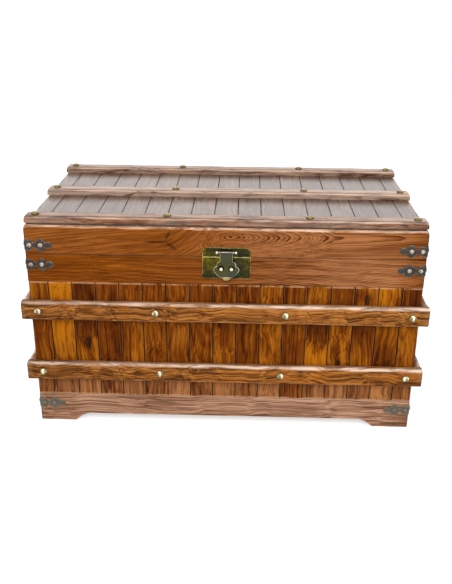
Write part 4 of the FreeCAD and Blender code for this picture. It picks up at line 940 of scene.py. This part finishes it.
def turned(profile, centre, direction, sides=20, seed=None, finish=0):
    # a profile of radius, height and wear, spun round a direction: centre + r (cos a u + sin a v) + h w.
    # Hand-made pieces, which give a seed, are about a hundredth out of round.
    profile = np.array(profile, float)
    first, second, axis = basis(direction)
    angles = np.linspace(0, 2 * np.pi, sides, endpoint=False)
    radius = np.repeat(profile[:, :1], sides, 1)
    if seed is not None:
        oval, threefold = np.sin(2 * angles + seed), np.sin(3 * angles + 2.3 * seed)
        radius = radius * (1 + 0.012 * oval + 0.6 * 0.012 * threefold)
    circle = np.cos(angles)[:, None] * first + np.sin(angles)[:, None] * second
    rings = np.array(centre, float) + mm * (radius[..., None] * circle + profile[:, 1, None, None] * axis)
    wear = np.broadcast_to(profile[:, 2, None, None], rings.shape)
    return closedSurface(rings, {"wearShare": wear}, finish)


def spindle(*half):
    # a whole profile from one end to the middle, as radius, distance from the middle and wear
    return [(radius, -reach, wear) for radius, reach, wear in half] + list(half[::-1])


def tube(path, radius, wear, sides=14):
    # a round rod along a path that lies square to x: each ring is path + r (cos a x + sin a n), where n is
    # square to x and to the path
    along = unit(np.gradient(path, axis=0))
    side = np.broadcast_to(np.array([1.0, 0, 0]), path.shape)
    normal = np.cross(side, along)
    angles = np.linspace(0, 2 * np.pi, sides, endpoint=False)[:, None]
    rings = path[:, None] + radius * (np.cos(angles) * side[:, None] + np.sin(angles) * normal[:, None])
    return closedSurface(mm * rings, {"wearShare": np.broadcast_to(wear[:, None, None], rings.shape)})


# domed nails

nails = {
    # radius share, height share and wear from the rim up to the crown; the wear also paints shade at the rim
    # and a highlight on the crown
    "dome": (
        (0.72, -0.12, 0.0), (1.0, 0.0, 0.0), (1.0, 0.12, 0.2), (0.93, 0.38, 0.45), (0.8, 0.64, 0.75),
        (0.58, 0.85, 0.95), (0.3, 0.97, 1.0), (0.08, 1.0, 1.0),
    ),
    # radius, height and number of sides of each kind of head
    "band": (7.15, 4.5, 24), "strap": (4.7, 3.0, 18), "latch": (1.8, 1.0, 14), "screw": (3.4, 1.8, 16),
}
# where they are: heights of the bands with the places of their inner nails; the others are the same on all
bandNails = {
    "inner": {113.5: (-118, 104), 236: (-123, 108.5)}, "outer": 334, "end": 130, "faceX": 364, "faceY": 204,
}
lidNails = {"x": (-331.5, -101, 146, 331.5), "y": (-171, 0, 171), "height": 408}
strapHeights = {"lid": 357.1, "rail": 321, "plinth": 38.5}


def nailHeads(places, kind, seed, finish=0, shine=0.72):
    # heads of slightly different size and lean, with a highlight painted on their upper side and painted
    # reflection streaks across them
    headRadius, headHeight, sides = nails[kind]
    shapes = []
    for number, (point, direction) in enumerate(places):
        draw = np.random.default_rng(seed + number)
        point, direction = np.array(point, float) * mm, np.array(direction, float)
        radius = headRadius * draw.uniform(0.96, 1.03)
        profile = [(radius * across, headHeight * up, wear) for across, up, wear in nails["dome"]]
        lean = direction + draw.uniform(-0.05, 0.05, 3) * (1 - np.abs(direction))
        shape = turned(profile, point, lean, sides, seed + number, finish)
        offset = (shape["points"] - point) / (mm * headRadius)
        reflectionStreaks = np.sin(draw.uniform(3.5, 6) * (offset[:, 0] + offset[:, 1]) + draw.uniform(0, 6))
        # painted light: brighter on the upper side and in streaks of reflection
        rubbedAndLit = 0.42 * offset[:, 2] + 0.3 * reflectionStreaks
        shape["layers"]["wearShare"] = shape["layers"]["wearShare"] * np.clip(shine + rubbedAndLit[:, None], 0, 1.2)
        shapes.append(shape)
    return joined(shapes)


def strapNails(name, seed, finish=0, shine=0.8):
    places = []
    for inset in (8.4, 28):
        for sideX in (-1, 1):
            for sideY in (-1, 1):
                x, y = sideX * (wallX - inset), sideY * (wallY - inset)
                faceX, faceY = sideX * (wallX + strap["thick"]), sideY * (wallY + strap["thick"])
                places.append(((x, faceY, strapHeights[name]), (0, sideY, 0)))
                places.append(((faceX, y, strapHeights[name]), (sideX, 0, 0)))
    return nailHeads(places, "strap", seed, finish, shine)


places = []
for height, inner in bandNails["inner"].items():
    outer, end = bandNails["outer"], bandNails["end"]
    for side in (-1, 1):
        places += [((x, bandNails["faceY"] * side, height), (0, side, 0)) for x in (-outer, *inner, outer)]
        places += [((bandNails["faceX"] * side, y, height), (side, 0, 0)) for y in (-end, end)]
makePiece("base_batten_nails", nailHeads(places, "band", 300), "base", "nail_brass", nailBrass)

places = [((x, y, lidNails["height"]), upward) for y in lidNails["y"] for x in lidNails["x"]]
makePiece("lid_batten_nails", nailHeads(places, "band", 340), "lid", "nail_brass", lidBrass)


# forged corner straps and their nails

strap = {
    "thick": 1.2, "bend": 1.4,  # radius of the bend on the corner
    # outline along one wing: the square part's length and half height, the waist, the place where the neck
    # starts and its half height, the lobe's centre, half height and half length, the point on the lobe, and
    # the tip's centre and radius
    "square": (12.6, 9.6), "waist": 4.6, "neck": (37.6, 4.2), "lobe": (28, 12.5, 10.4), "point": 1.4,
    "tip": (42.0, 6.2),
    # across the strap: share of the half height, inset from its edge, height above the wall, wear
    "bar": (
        (-1, 0, -0.3, 0.1), (-1, 0, 0.7, 0.75), (-1, 0.45, 1.15, 0.8), (-1, 1.4, 1.2, 0.45),
        (-0.45, 0, 1.15, 0.3), (0.45, 0, 1.15, 0.3),
        (1, 1.4, 1.2, 0.45), (1, 0.45, 1.15, 0.8), (1, 0, 0.7, 0.75), (1, 0, -0.3, 0.1),
    ),
}

makePiece("lid_strap_nails", strapNails("lid", 360), "lid", "nail_brass", strapBrass)
baseNails = joined([strapNails("rail", 400), strapNails("plinth", 430, 1, 0.72)])
makePiece("base_strap_nails", baseNails, "base", "nail_brass", strapBrass, footIron)


def strapHalfHeight(reach):
    # the largest of four outlines at each distance from the corner: the square part, the necks, the round
    # tip, and the lobe, h (1 - t^2)^0.62 with a small point over its middle, where t runs from -1 to 1
    squareEnd, squareHalf = strap["square"]
    block = squareHalf * np.clip((squareEnd + 1.2 - reach) / 1.2, 0, 1) ** 0.5
    centre, high, wide = strap["lobe"]
    share = np.clip((reach - centre) / wide, -1, 1)
    lobe = (high - strap["point"]) * (1 - share ** 2) ** 0.62 + strap["point"] * np.exp(-np.abs(share) * 7)
    tipCentre, tipRadius = strap["tip"]
    tip = tipRadius * np.sqrt(np.clip(1 - ((reach - tipCentre) / tipRadius) ** 2, 0, 1))
    neckAt, neckHalf = strap["neck"]
    neck = np.where(reach < neckAt, strap["waist"], np.where(reach < tipCentre, neckHalf, 0))
    return np.maximum.reduce([block, lobe, tip, neck])


def cornerStrap(sideX, sideY, height, seed):
    # the section across the strap, a flat bar with eased edges, carried along one wall, round the corner
    # on a small arc and along the other wall
    bend, (tipCentre, tipRadius) = strap["bend"], strap["tip"]
    reach = np.concatenate([
        np.linspace(bend + 0.2, 12, 6), np.linspace(12.6, 15.4, 7), np.linspace(15.8, 39.6, 40),
        tipCentre + tipRadius * np.sin(np.linspace(-0.3, np.pi / 2, 12)),
    ])
    reach = np.minimum(np.unique(reach), tipCentre + tipRadius - 0.02)
    half = np.maximum(strapHalfHeight(reach), 0.35) + 0.15 * wander(reach, seed, 30)
    turns = np.linspace(0, np.pi / 2, 5)
    half = np.concatenate([half[::-1], np.full(len(turns), strap["square"][1]), half])[:, None]
    # the strap's path on the wall, and the direction out of it
    flat = np.zeros(len(reach))
    outX = np.concatenate([flat, np.sin(turns), flat + 1])[:, None]
    outY = np.concatenate([flat + 1, np.cos(turns), flat])[:, None]
    pathX = np.concatenate([wallX - reach[::-1], wallX - bend + bend * np.sin(turns), flat + wallX])[:, None]
    pathY = np.concatenate([flat + wallY, wallY - bend + bend * np.cos(turns), wallY - reach])[:, None]
    share, inset, lift, wear = np.array(strap["bar"]).T
    up = share * half - np.sign(share) * np.minimum(inset, 0.8 * half)
    points = np.stack([sideX * (pathX + lift * outX), sideY * (pathY + lift * outY), height + up], -1) * mm
    return closedSurface(points, {"wearShare": np.broadcast_to(wear[:, None], points.shape)})


for number, (name, height) in enumerate(strapHeights.items()):
    four = [cornerStrap(x, y, height, 500 + 10 * number + 2 * x + y) for x in (-1, 1) for y in (-1, 1)]
    body = "lid" if name == "lid" else "base"
    iron = footIron if name == "plinth" else strapIron
    makePiece(f"{name}_corner_straps", joined(four), body, "strap_iron", iron)
print("nails and straps made")


# plates: an outline with rounded corners, raised off its wall in a few rings

def lifted(loop, normal, profile, place):
    # rings over an outline, from rows of inset, height above the wall and wear. place is the origin, and the
    # directions across, up and out.
    origin, across, up, out = (np.array(item, float) for item in place)
    rings, wears = [], []
    for inset, height, wear in profile:
        drawn = loop + inset * normal
        rings.append(origin + mm * (drawn[:, :1] * across + drawn[:, 1:] * up + height * out))
        wears.append(np.full((len(loop), 3), wear))
    return rings, wears


def plate(outline, radii, profile, place, steps=4, fill=3):
    # the outline is rounded first and then drawn in by each inset along its own normals
    loop = roundedLoop(np.array([outline], float), np.array(radii, float), steps, fill)[0]
    after = np.roll(loop, -1, 0)
    tangent = unit(unit(after - loop) + unit(loop - np.roll(loop, 1, 0)))
    normal = np.column_stack([-tangent[:, 1], tangent[:, 0]])
    area = (loop[:, 0] * after[:, 1] - loop[:, 1] * after[:, 0]).sum()
    rings, wears = lifted(loop, normal * np.sign(area), profile, place)
    return closedSurface(np.array(rings), {"wearShare": np.array(wears)})


def pierced(outer, inner, profile, place):
    # a plate with one opening: its outer and its inner loop have the same count of points, and the skin
    # runs from the outer wall over the face to the inner wall and back behind the plate
    rings, wears = [], []
    openingWall = ((0.9, 1.0, 0.4), (0.4, 1.15, 0.8), (0, 1.1, 0.7), (0, 0.05, 0.1))
    for (outline, radii), rows, inwards in ((outer, profile, 1), (inner, openingWall, -1)):
        loop = roundedLoop(np.array([outline], float), np.array(radii, float), 4, 3)[0]
        tangent = unit(np.roll(loop, -1, 0) - np.roll(loop, 1, 0))
        normal = np.column_stack([-tangent[:, 1], tangent[:, 0]]) * inwards
        more, moreWears = lifted(loop, normal, rows, place)
        rings += more
        wears += moreWears
    shape = closedSurface(np.array(rings + rings[:1]), {"wearShare": np.array(wears + wears[:1])})
    # the first and the last ring are one: the skin closes on itself and needs no caps
    last = len(rings) * len(rings[0])
    shape["quads"] = np.where(shape["quads"] >= last, shape["quads"] - last, shape["quads"])
    shape["points"] = shape["points"][:last]
    shape["layers"] = {name: values[:last] for name, values in shape["layers"].items()}
    shape["caps"] = []
    shape["finish"] = [(len(shape["quads"]), 0, 0)]
    return shape


def oblong(left, right, low, high):
    return (left, low), (right, low), (right, high), (left, high)


def block(left, right, low, high, radius, profile, place):
    # a small oblong plate with few points
    return plate(oblong(left, right, low, high), radius, profile, place, 2, 1)


def bothSides(*half):
    # an outline and its corner radii, from the rows x, height and radius of its right half
    rows = list(half) + [(-x, height, radius) for x, height, radius in half[::-1]]
    return [row[:2] for row in rows], [row[2] for row in rows]


# the latch: heights are above the floor, and it is nailed on a little to the right of the middle
latch = {
    "shift": 2.7, "half": 42.25, "base": (301, 341), "lid": (341.3, 358.5), "corner": 6.5,
    "slot": (11.9, 351.7, 356.5), "slotShadeMargin": 0.4,  # half length, lower and upper edge
    # rows of the dark plate behind the slot, a painted shade in the opening
    "floor": ((0, -0.1, 0), (0, 0.2, 0), (0.4, 0.25, 0)),
    "pin": 350.6, "pinOut": 4.2,  # the pin's height, and its distance from the wall
    "ears": 12.9, "ear": (0.8, 1.8),  # from the middle; half width and radius
    "boss": ((1.4, 0.8, 0.6), (1.8, 0.5, 0.9)), "earRoot": ((0, 0, 0.3), (0, 3.9, 0.8), (0.2, 4.1, 0.9)),
    "nails": {"base": (307, 335), "lid": (347.3,)}, "nailInset": 6,
    # the raised rim of both plates: inset, height above the wall, wear
    "rim": (
        (0, -0.2, 0.2), (0, 0.8, 0.8), (0.3, 1.15, 1.0), (0.7, 1.2, 0.9), (1.1, 1.05, 0.2), (2.0, 1.0, 0.4),
    ),
    "dull": 0.74,  # how much of the rim's wear shows away from the seam
}
middleX = latch["shift"] * mm
latchPlace = ((middleX, -wallY * mm, 0), (1, 0, 0), upward, (0, -1, 0))
half, pinHeight = latch["half"], latch["pin"]
basePlate = plate(oblong(-half, half, *latch["base"]), (1.2, 1.2, 0.6, 0.6), latch["rim"], latchPlace)
atSeam = basePlate["points"][:, 2:] > (latch["base"][1] - 2) * mm
basePlate["layers"]["wearShare"] *= np.where(atSeam, 1.0, latch["dull"])
makePiece("latch_base_plate", basePlate, "base", "latch_brass", latchBrass)

low, high = latch["lid"]
step = latch["corner"]
slotHalf, slotLow, slotHigh = latch["slot"]
slotMiddle = (slotLow + slotHigh) / 2  # a hardly rounded corner there, so both loops have six
outline = bothSides((half, low, 0.6), (half, high - step, 0.8), (half - step, high, 0.8))
opening = bothSides((slotHalf, slotLow, 0.9), (slotHalf, slotMiddle, 0.01), (slotHalf, slotHigh, 0.9))
lidPlate = pierced(outline, opening, latch["rim"], latchPlace)
lidPlate["layers"]["wearShare"] *= latch["dull"]
# a dark plate behind the slot: painted shade in the opening
slotShadeHalf = slotHalf + latch["slotShadeMargin"]
slotShadeEdges = (slotLow - latch["slotShadeMargin"], slotHigh + latch["slotShadeMargin"])
slotShadePlate = block(-slotShadeHalf, slotShadeHalf, *slotShadeEdges, 0.3, latch["floor"], latchPlace)
pinCentre = (middleX, -(wallY + latch["pinOut"]) * mm, pinHeight * mm)
ears = []
earHalf, earRadius = latch["ear"]
for middle in (-latch["ears"], latch["ears"]):
    ears.append(turned(spindle(*latch["boss"]), (pinCentre[0] + middle * mm, *pinCentre[1:]), (1, 0, 0)))
    earEdges = (middle - earHalf, middle + earHalf, pinHeight - earRadius, pinHeight + earRadius)
    ears.append(block(*earEdges, 0.3, latch["earRoot"], latchPlace))
makePiece("latch_lid_plate", joined([lidPlate, slotShadePlate] + ears), "lid", "latch_brass", latchBrass)

pinProfile = spindle(
    (0.4, 19.5, 0.8), (1.7, 18.9, 0.8), (2.7, 17.7, 0.9), (3.0, 16.5, 1.0), (2.7, 15.3, 0.9),
    (1.9, 14.4, 0.6), (1.1, 14.0, 0.4), (1.0, 13.5, 0.9),
)
makePiece("latch_hinge_pin", turned(pinProfile, pinCentre, (1, 0, 0)), "lid", "pin_steel", pinSteel)

hasp = {
    # half of its outline: distance from the middle and below the pin, and the radius of each corner
    "half": (
        (11.5, 0, 0.3), (11.5, 16.8, 1.0), (15.5, 19.2, 3.0), (17.7, 23.2, 1.6), (16.2, 25.8, 0.5),
        (20.4, 27.6, 2.6), (23.1, 32.2, 3.0), (21.4, 37.0, 4.0), (16, 43.5, 5.0), (9.5, 48, 4.0),
    ),
    "rim": (
        (0, 0.0, 0.2), (0, 0.8, 0.7), (0.3, 1.1, 0.85), (0.9, 1.2, 0.7), (1.3, 1.12, 0.35), (2.0, 1.1, 0.4),
    ),
    "back": 2.0, "face": 3.2,  # distances from the wall
    # the tongue is a disc cut off at its bend line and swung out of the plate by its tilt
    "tongue": 8, "trim": 2, "bendHeight": 303.8, "tilt": 28,
    "chord": (7.4, -0.5),  # its straight edge: half length, and place below the bend line
    # size of the disc, height of its face over the hasp's, and wear
    "tongueRings": ((1.0, -1.2, 0.2), (1.0, -0.3, 0.4), (0.93, 0.0, 0.62), (0.6, 0.12, 0.6)),
    "studs": (9, 30.2),  # to the side, and below the pin
    # a flat dark ring round each stud, painting the shade of the hole it passes through
    "shadeRing": ((5.6, -0.3, 0.0), (5.6, 0.25, 0.1), (5.2, 0.5, 0.15), (4.6, 0.3, 0.0), (3.2, 0.12, 0.0)),
    "ball": 3.5, "ballHeight": 3.1,
}
haspPlace = ((middleX, -(wallY + hasp["back"]) * mm, 0), (1, 0, 0), upward, (0, -1, 0))
outline, radii = bothSides(*((x, pinHeight - drop, radius) for x, drop, radius in hasp["half"]))
haspPlate = plate(outline, radii, hasp["rim"], haspPlace)
eyeProfile = spindle((1.1, 11.5, 0.3), (1.5, 11.5, 0.6), (1.8, 11.1, 0.8))
haspEye = turned(eyeProfile, pinCentre, (1, 0, 0), finish=1)
overPin = (haspEye["points"][:, 2:] - pinCentre[2]) / 0.0018
haspEye["layers"]["wearShare"] *= 0.55 + 0.55 * overPin  # painted highlight, brightest on top

haspFace = -(wallY + hasp["face"]) * mm
tilt = math.radians(hasp["tilt"])
downOut = np.array([0, -math.sin(tilt), -math.cos(tilt)])
faceOut = np.array([0, -math.cos(tilt), math.sin(tilt)])
first = math.asin(hasp["trim"] / hasp["tongue"])
turn = np.linspace(first, np.pi - first, 25)
moonLoop = np.column_stack([np.cos(turn), np.sin(turn)]) * hasp["tongue"] - (0, hasp["trim"])
chordHalf, chordDown = hasp["chord"]
chord = np.column_stack([np.linspace(-chordHalf, chordHalf, 5), np.full(5, chordDown)])
moonLoop = np.concatenate([moonLoop, chord])
moonRings, moonWear = [], []
for scale, lift, wear in hasp["tongueRings"]:
    x, down = (moonLoop * scale)[:, :1], (moonLoop * scale)[:, 1:]
    offset = x * np.array([1.0, 0, 0]) + down * downOut + lift * faceOut
    moonRings.append(np.array([middleX, haspFace, hasp["bendHeight"] * mm]) + mm * offset)
    moonWear.append(np.full((len(moonLoop), 3), wear))
moon = closedSurface(np.array(moonRings), {"wearShare": np.array(moonWear)}, 2)
makePiece("hasp", joined([haspPlate, haspEye, moon]), "hasp", "latch_brass", haspIron, pinSteel, nailBrass)

ball = [(2.0, -0.2, 0.0), (2.0, 0.6, 0.0)]
for angle in (-45, -25, 0, 25, 45, 62, 78, 87):
    sine, cosine = math.sin(math.radians(angle)), math.cos(math.radians(angle))
    ball.append((hasp["ball"] * cosine, hasp["ballHeight"] + hasp["ball"] * sine, 0.55 + 0.45 * sine))
studs = []
for side in (-1, 1):
    aside, below = hasp["studs"]
    foot = (middleX + side * aside * mm, haspFace, pinCentre[2] - below * mm)
    # each stud gets a dark ring of painted shade and a ball
    studs += [turned(hasp["shadeRing"], foot, (0, -1, 0), 24, finish=1), turned(ball, foot, (0, -1, 0), 24)]
makePiece("hasp_studs", joined(studs), "hasp", "nail_brass", nailBrass, latchBrass)

for body, heights in latch["nails"].items():
    reach = half - latch["nailInset"]
    face = -(wallY + 1.2)
    places = [((latch["shift"] + side * reach, face, z), (0, -1, 0)) for side in (-1, 1) for z in heights]
    heads = nailHeads(places, "latch", 600, shine=0.25)
    makePiece(f"{body}_latch_pins", heads, body, "nail_brass", latchBrass)
print("latch made")


# back hinges

hinge = {
    "centres": (-200, 200), "half": 30, "axis": (194.4, 341.15),  # distance from the middle, and height
    "leaf": (4.4, 24), "corner": 3.0,  # its near and far edge, from the axis
    "knuckle": 20, "gap": 0.2, "barrel": ((1.7, 9.8, 0.4), (3.6, 9.8, 0.7), (4.0, 9.4, 0.8)),
    "pin": ((1.5, 29.8, 0.8), (1.75, 29.5, 0.9)),
    "rim": ((0, -0.2, 0.2), (0, 1.1, 0.7), (0.5, 1.6, 0.8), (1.6, 1.6, 0.35)),
    "root": ((0, 0, 0.3), (0, 1.4, 0.5), (0.2, 1.6, 0.5)),
    "nib": ((0, 6, 0.5), (0, 11.0, 0.8), (0.3, 11.4, 0.9)),
    "screws": 20, "screwHeights": {"lid": 355.35, "base": 326.95}, "screwFace": 191.6,
}
backPlace = ((0, wallY * mm, 0), (-1, 0, 0), upward, (0, 1, 0))


def hingeLeaves(body):
    # the lid's leaves go up and have the middle knuckle with a nib; the base's go down and have the others
    shapes = []
    axisY, axisZ = hinge["axis"]
    near, far = hinge["leaf"]
    half, knuckle, gap, corner = (hinge[key] for key in ("half", "knuckle", "gap", "corner"))
    sign, thirds, radii = (1, (1,), (0.4, 0.4, corner, corner))
    if body == "base":
        sign, thirds, radii = (-1, (0, 2), (corner, corner, 0.4, 0.4))
    low, high = sorted((axisZ + sign * near, axisZ + sign * far))
    rootLow, rootHigh = sorted((axisZ, axisZ + sign * near))
    for centre in hinge["centres"]:
        outline = oblong(-centre - half, -centre + half, low, high)
        shapes.append(plate(outline, radii, hinge["rim"], backPlace))
        for third in thirds:
            first = centre - half + knuckle * third + gap
            middle = (first + knuckle / 2 - gap) * mm
            shapes.append(turned(spindle(*hinge["barrel"]), (middle, axisY * mm, axisZ * mm), (1, 0, 0)))
            run = (-first - knuckle + 2 * gap, -first)
            shapes.append(block(*run, rootLow, rootHigh, 0.2, hinge["root"], backPlace))
            if body == "lid":
                shapes.append(block(*run, axisZ - 1, axisZ + 1, 0.3, hinge["nib"], backPlace))
    return joined(shapes)


for body in ("base", "lid"):
    makePiece(f"{body}_hinge_leaves", hingeLeaves(body), body, "strap_iron", strapIron)
axisY, axisZ = hinge["axis"]
pins = [
    turned(spindle(*hinge["pin"]), (centre * mm, axisY * mm, axisZ * mm), (1, 0, 0), 16)
    for centre in hinge["centres"]
]
makePiece("hinge_pins", joined(pins), "base", "strap_iron", strapIron)

# lifting handles on the ends; the screws of the hinges and handles are made together
handle = {
    "half": 42, "drop": 52, "rod": 3.5, "corner": 14, "elbow": 5, "pivot": (357.5, 200),
    # half of the plate's outline with its corner radii, and the plate's profile
    "plate": ((40, 189, 0.8), (47, 196, 0.8), (47, 204, 0.8), (40, 211, 0.8)),
    "rim": ((0, -0.2, 0.2), (0, 1.4, 0.7), (0.6, 2.0, 0.85), (1.8, 2.0, 0.35)),
    "lugs": 33.0, "lug": ((3.6, 2.5, 0.4), (5.5, 2.5, 0.7), (6.0, 2.0, 0.8)),
    "root": (2.5, 5.6), "rootProfile": ((0, 0, 0.3), (0, 5.5, 0.5), (0.3, 6.0, 0.6)),  # half width and height
    "screws": 20, "screwFace": 352,
}
for body, seed in (("lid", 620), ("base", 640)):
    places = [
        ((centre + shift, hinge["screwFace"], hinge["screwHeights"][body]), (0, 1, 0))
        for centre in hinge["centres"] for shift in (-hinge["screws"], hinge["screws"])
    ]
    if body == "base":
        places += [
            ((handle["screwFace"] * side, y, handle["pivot"][1]), (side, 0, 0))
            for side in (-1, 1) for y in (-handle["screws"], handle["screws"])
        ]
    makePiece(f"{body}_screws", nailHeads(places, "screw", seed), body, "strap_iron", strapIron)


def bailPath():
    # from one lug down, round two bends and up to the other: straight stubs and quarter circles
    half, drop, corner, elbow = handle["half"], handle["drop"], handle["corner"], handle["elbow"]
    turn = np.linspace(-np.pi / 2, 0, 9)
    low = np.column_stack([half - corner + corner * np.cos(turn), corner - drop + corner * np.sin(turn)])
    turn = np.linspace(0, np.pi / 2, 6)
    high = np.column_stack([half - elbow + elbow * np.cos(turn), -elbow + elbow * np.sin(turn)])
    middle = np.column_stack([np.linspace(0, half - corner - 4, 4), np.full(4, -drop)])
    side = np.column_stack([np.full(4, half), np.linspace(corner - drop + 3, -elbow - 3, 4)])
    stub = np.column_stack([half - elbow - np.array([2.0, 5.0, 8.0]), np.zeros(3)])
    right = np.concatenate([middle[1:], low, side, high, stub])
    left = right * (-1, 1)
    return np.concatenate([left[::-1], middle[:1], right])


pivotX, pivotZ = handle["pivot"]
path = bailPath()
wear = 0.35 + 0.45 * (path[:, 1] < -handle["drop"] + 6)  # bright where hands hold it
rootHalf, rootHigh = handle["root"]
for side, name in ((-1, "left"), (1, "right")):
    spine = np.column_stack([np.full(len(path), side * pivotX), path[:, 0], pivotZ + path[:, 1]])
    bail = tube(spine, handle["rod"], wear)
    makePiece(f"handle_{name}_bail", bail, f"{name}_handle", "strap_iron", strapIron)
    endPlace = ((side * wallX * mm, 0, 0), (0, side, 0), upward, (side, 0, 0))
    shapes = [plate(*bothSides(*handle["plate"]), handle["rim"], endPlace)]
    for middle in (-handle["lugs"], handle["lugs"]):
        lugPlace = (side * pivotX * mm, middle * mm, pivotZ * mm)
        shapes.append(turned(spindle(*handle["lug"]), lugPlace, (0, 1, 0)))
        run = sorted((side * (middle - rootHalf), side * (middle + rootHalf)))
        root = (*run, pivotZ - rootHigh, pivotZ + rootHigh)
        shapes.append(block(*root, 0.6, handle["rootProfile"], endPlace))
    makePiece(f"handle_{name}_plate", joined(shapes), "base", "strap_iron", strapIron)
print("hinges and handles made")


# floor, light and camera

room = {
    "ambient": 0.42, "floorGlow": 0.6,
    # for each lamp: place in metres, power, and length and width
    "lamps": {
        "keyLamp": ((-0.6, -2.2, 2.5), 50, (2.4, 1.8)), "fillLamp": ((1.9, -1.6, 1.2), 12, (1.4, 1.4)),
        "backLamp": ((0.2, 3.0, 1.7), 22, (4.0, 1.4)),
    },
    "lampAim": (0, 0, 0.2),
}


def seenDirectly(tree):
    # 1 for what the camera sees, also in gloss or through glass, and 0 for the light that falls on the chest
    rays = tree.nodes.new("ShaderNodeLightPath").outputs
    kinds = ("Camera", "Glossy", "Transmission")
    camera, glossy, clear = (wire(tree, rays[f"Is {kind} Ray"]) for kind in kinds)
    return calc("MAXIMUM", calc("MAXIMUM", camera, glossy), clear)


mesh = bpy.data.meshes.new("floorSheet")
mesh.from_pydata([(-6, -6, 0), (6, -6, 0), (6, 6, 0), (-6, 6, 0)], [], [(0, 1, 2, 3)])
floorSheet = bpy.data.objects.new("floorSheet", mesh)
bpy.context.collection.objects.link(floorSheet)
floorPaint = bpy.data.materials.new("floorPaint")
floorPaint.use_nodes = True
tree = floorPaint.node_tree
for label, value in (
    ("Base Color", (0.86, 0.86, 0.86, 1)), ("Roughness", 0.9), ("Specular IOR Level", 0.1),
    ("Emission Color", (1, 1, 1, 1)), ("Emission Strength", seenDirectly(tree) * room["floorGlow"]),
):
    feed(tree.nodes["Principled BSDF"].inputs[label], value)
mesh.materials.append(floorPaint)

world = bpy.data.worlds.new("paleRoom")
bpy.context.scene.world = world
world.use_nodes = True
sky = world.node_tree.nodes["Background"].inputs
sky["Color"].default_value = (1, 1, 1, 1)
feed(sky["Strength"], seenDirectly(world.node_tree) * (1 - room["ambient"]) + room["ambient"])

for name, (place, power, size) in room["lamps"].items():
    lamp = bpy.data.lights.new(name, "AREA")
    lamp.shape = "RECTANGLE"
    lamp.size, lamp.size_y = size
    lamp.energy = power
    holder = bpy.data.objects.new(name, lamp)
    holder.location = place
    holder.rotation_euler = (Vector(room["lampAim"]) - Vector(place)).to_track_quat("-Z", "Y").to_euler()
    bpy.context.collection.objects.link(holder)

view = {"lens": 47.11, "at": (0.0327, -1.4357, 0.8147), "down": 23.4386, "turn": -1.3889, "lean": -0.5306}
down, turn, lean = (math.radians(view[key]) for key in ("down", "turn", "lean"))
forward = Vector((math.sin(turn) * math.cos(down), math.cos(turn) * math.cos(down), -math.sin(down)))
level = Vector((math.cos(turn), -math.sin(turn), 0))
below = forward.cross(level)
right = math.cos(lean) * level + math.sin(lean) * below
under = -math.sin(lean) * level + math.cos(lean) * below
camera = bpy.data.cameras.new("viewCamera")
camera.lens = view["lens"]
camera.sensor_width = 36
holder = bpy.data.objects.new("viewCamera", camera)
heading = Matrix((right, -under, -forward)).transposed().to_4x4()
holder.matrix_world = Matrix.Translation(Vector(view["at"])) @ heading
bpy.context.collection.objects.link(holder)
bpy.context.scene.camera = holder
bpy.context.scene.view_settings.view_transform = "Standard"

print("room, light and camera made")
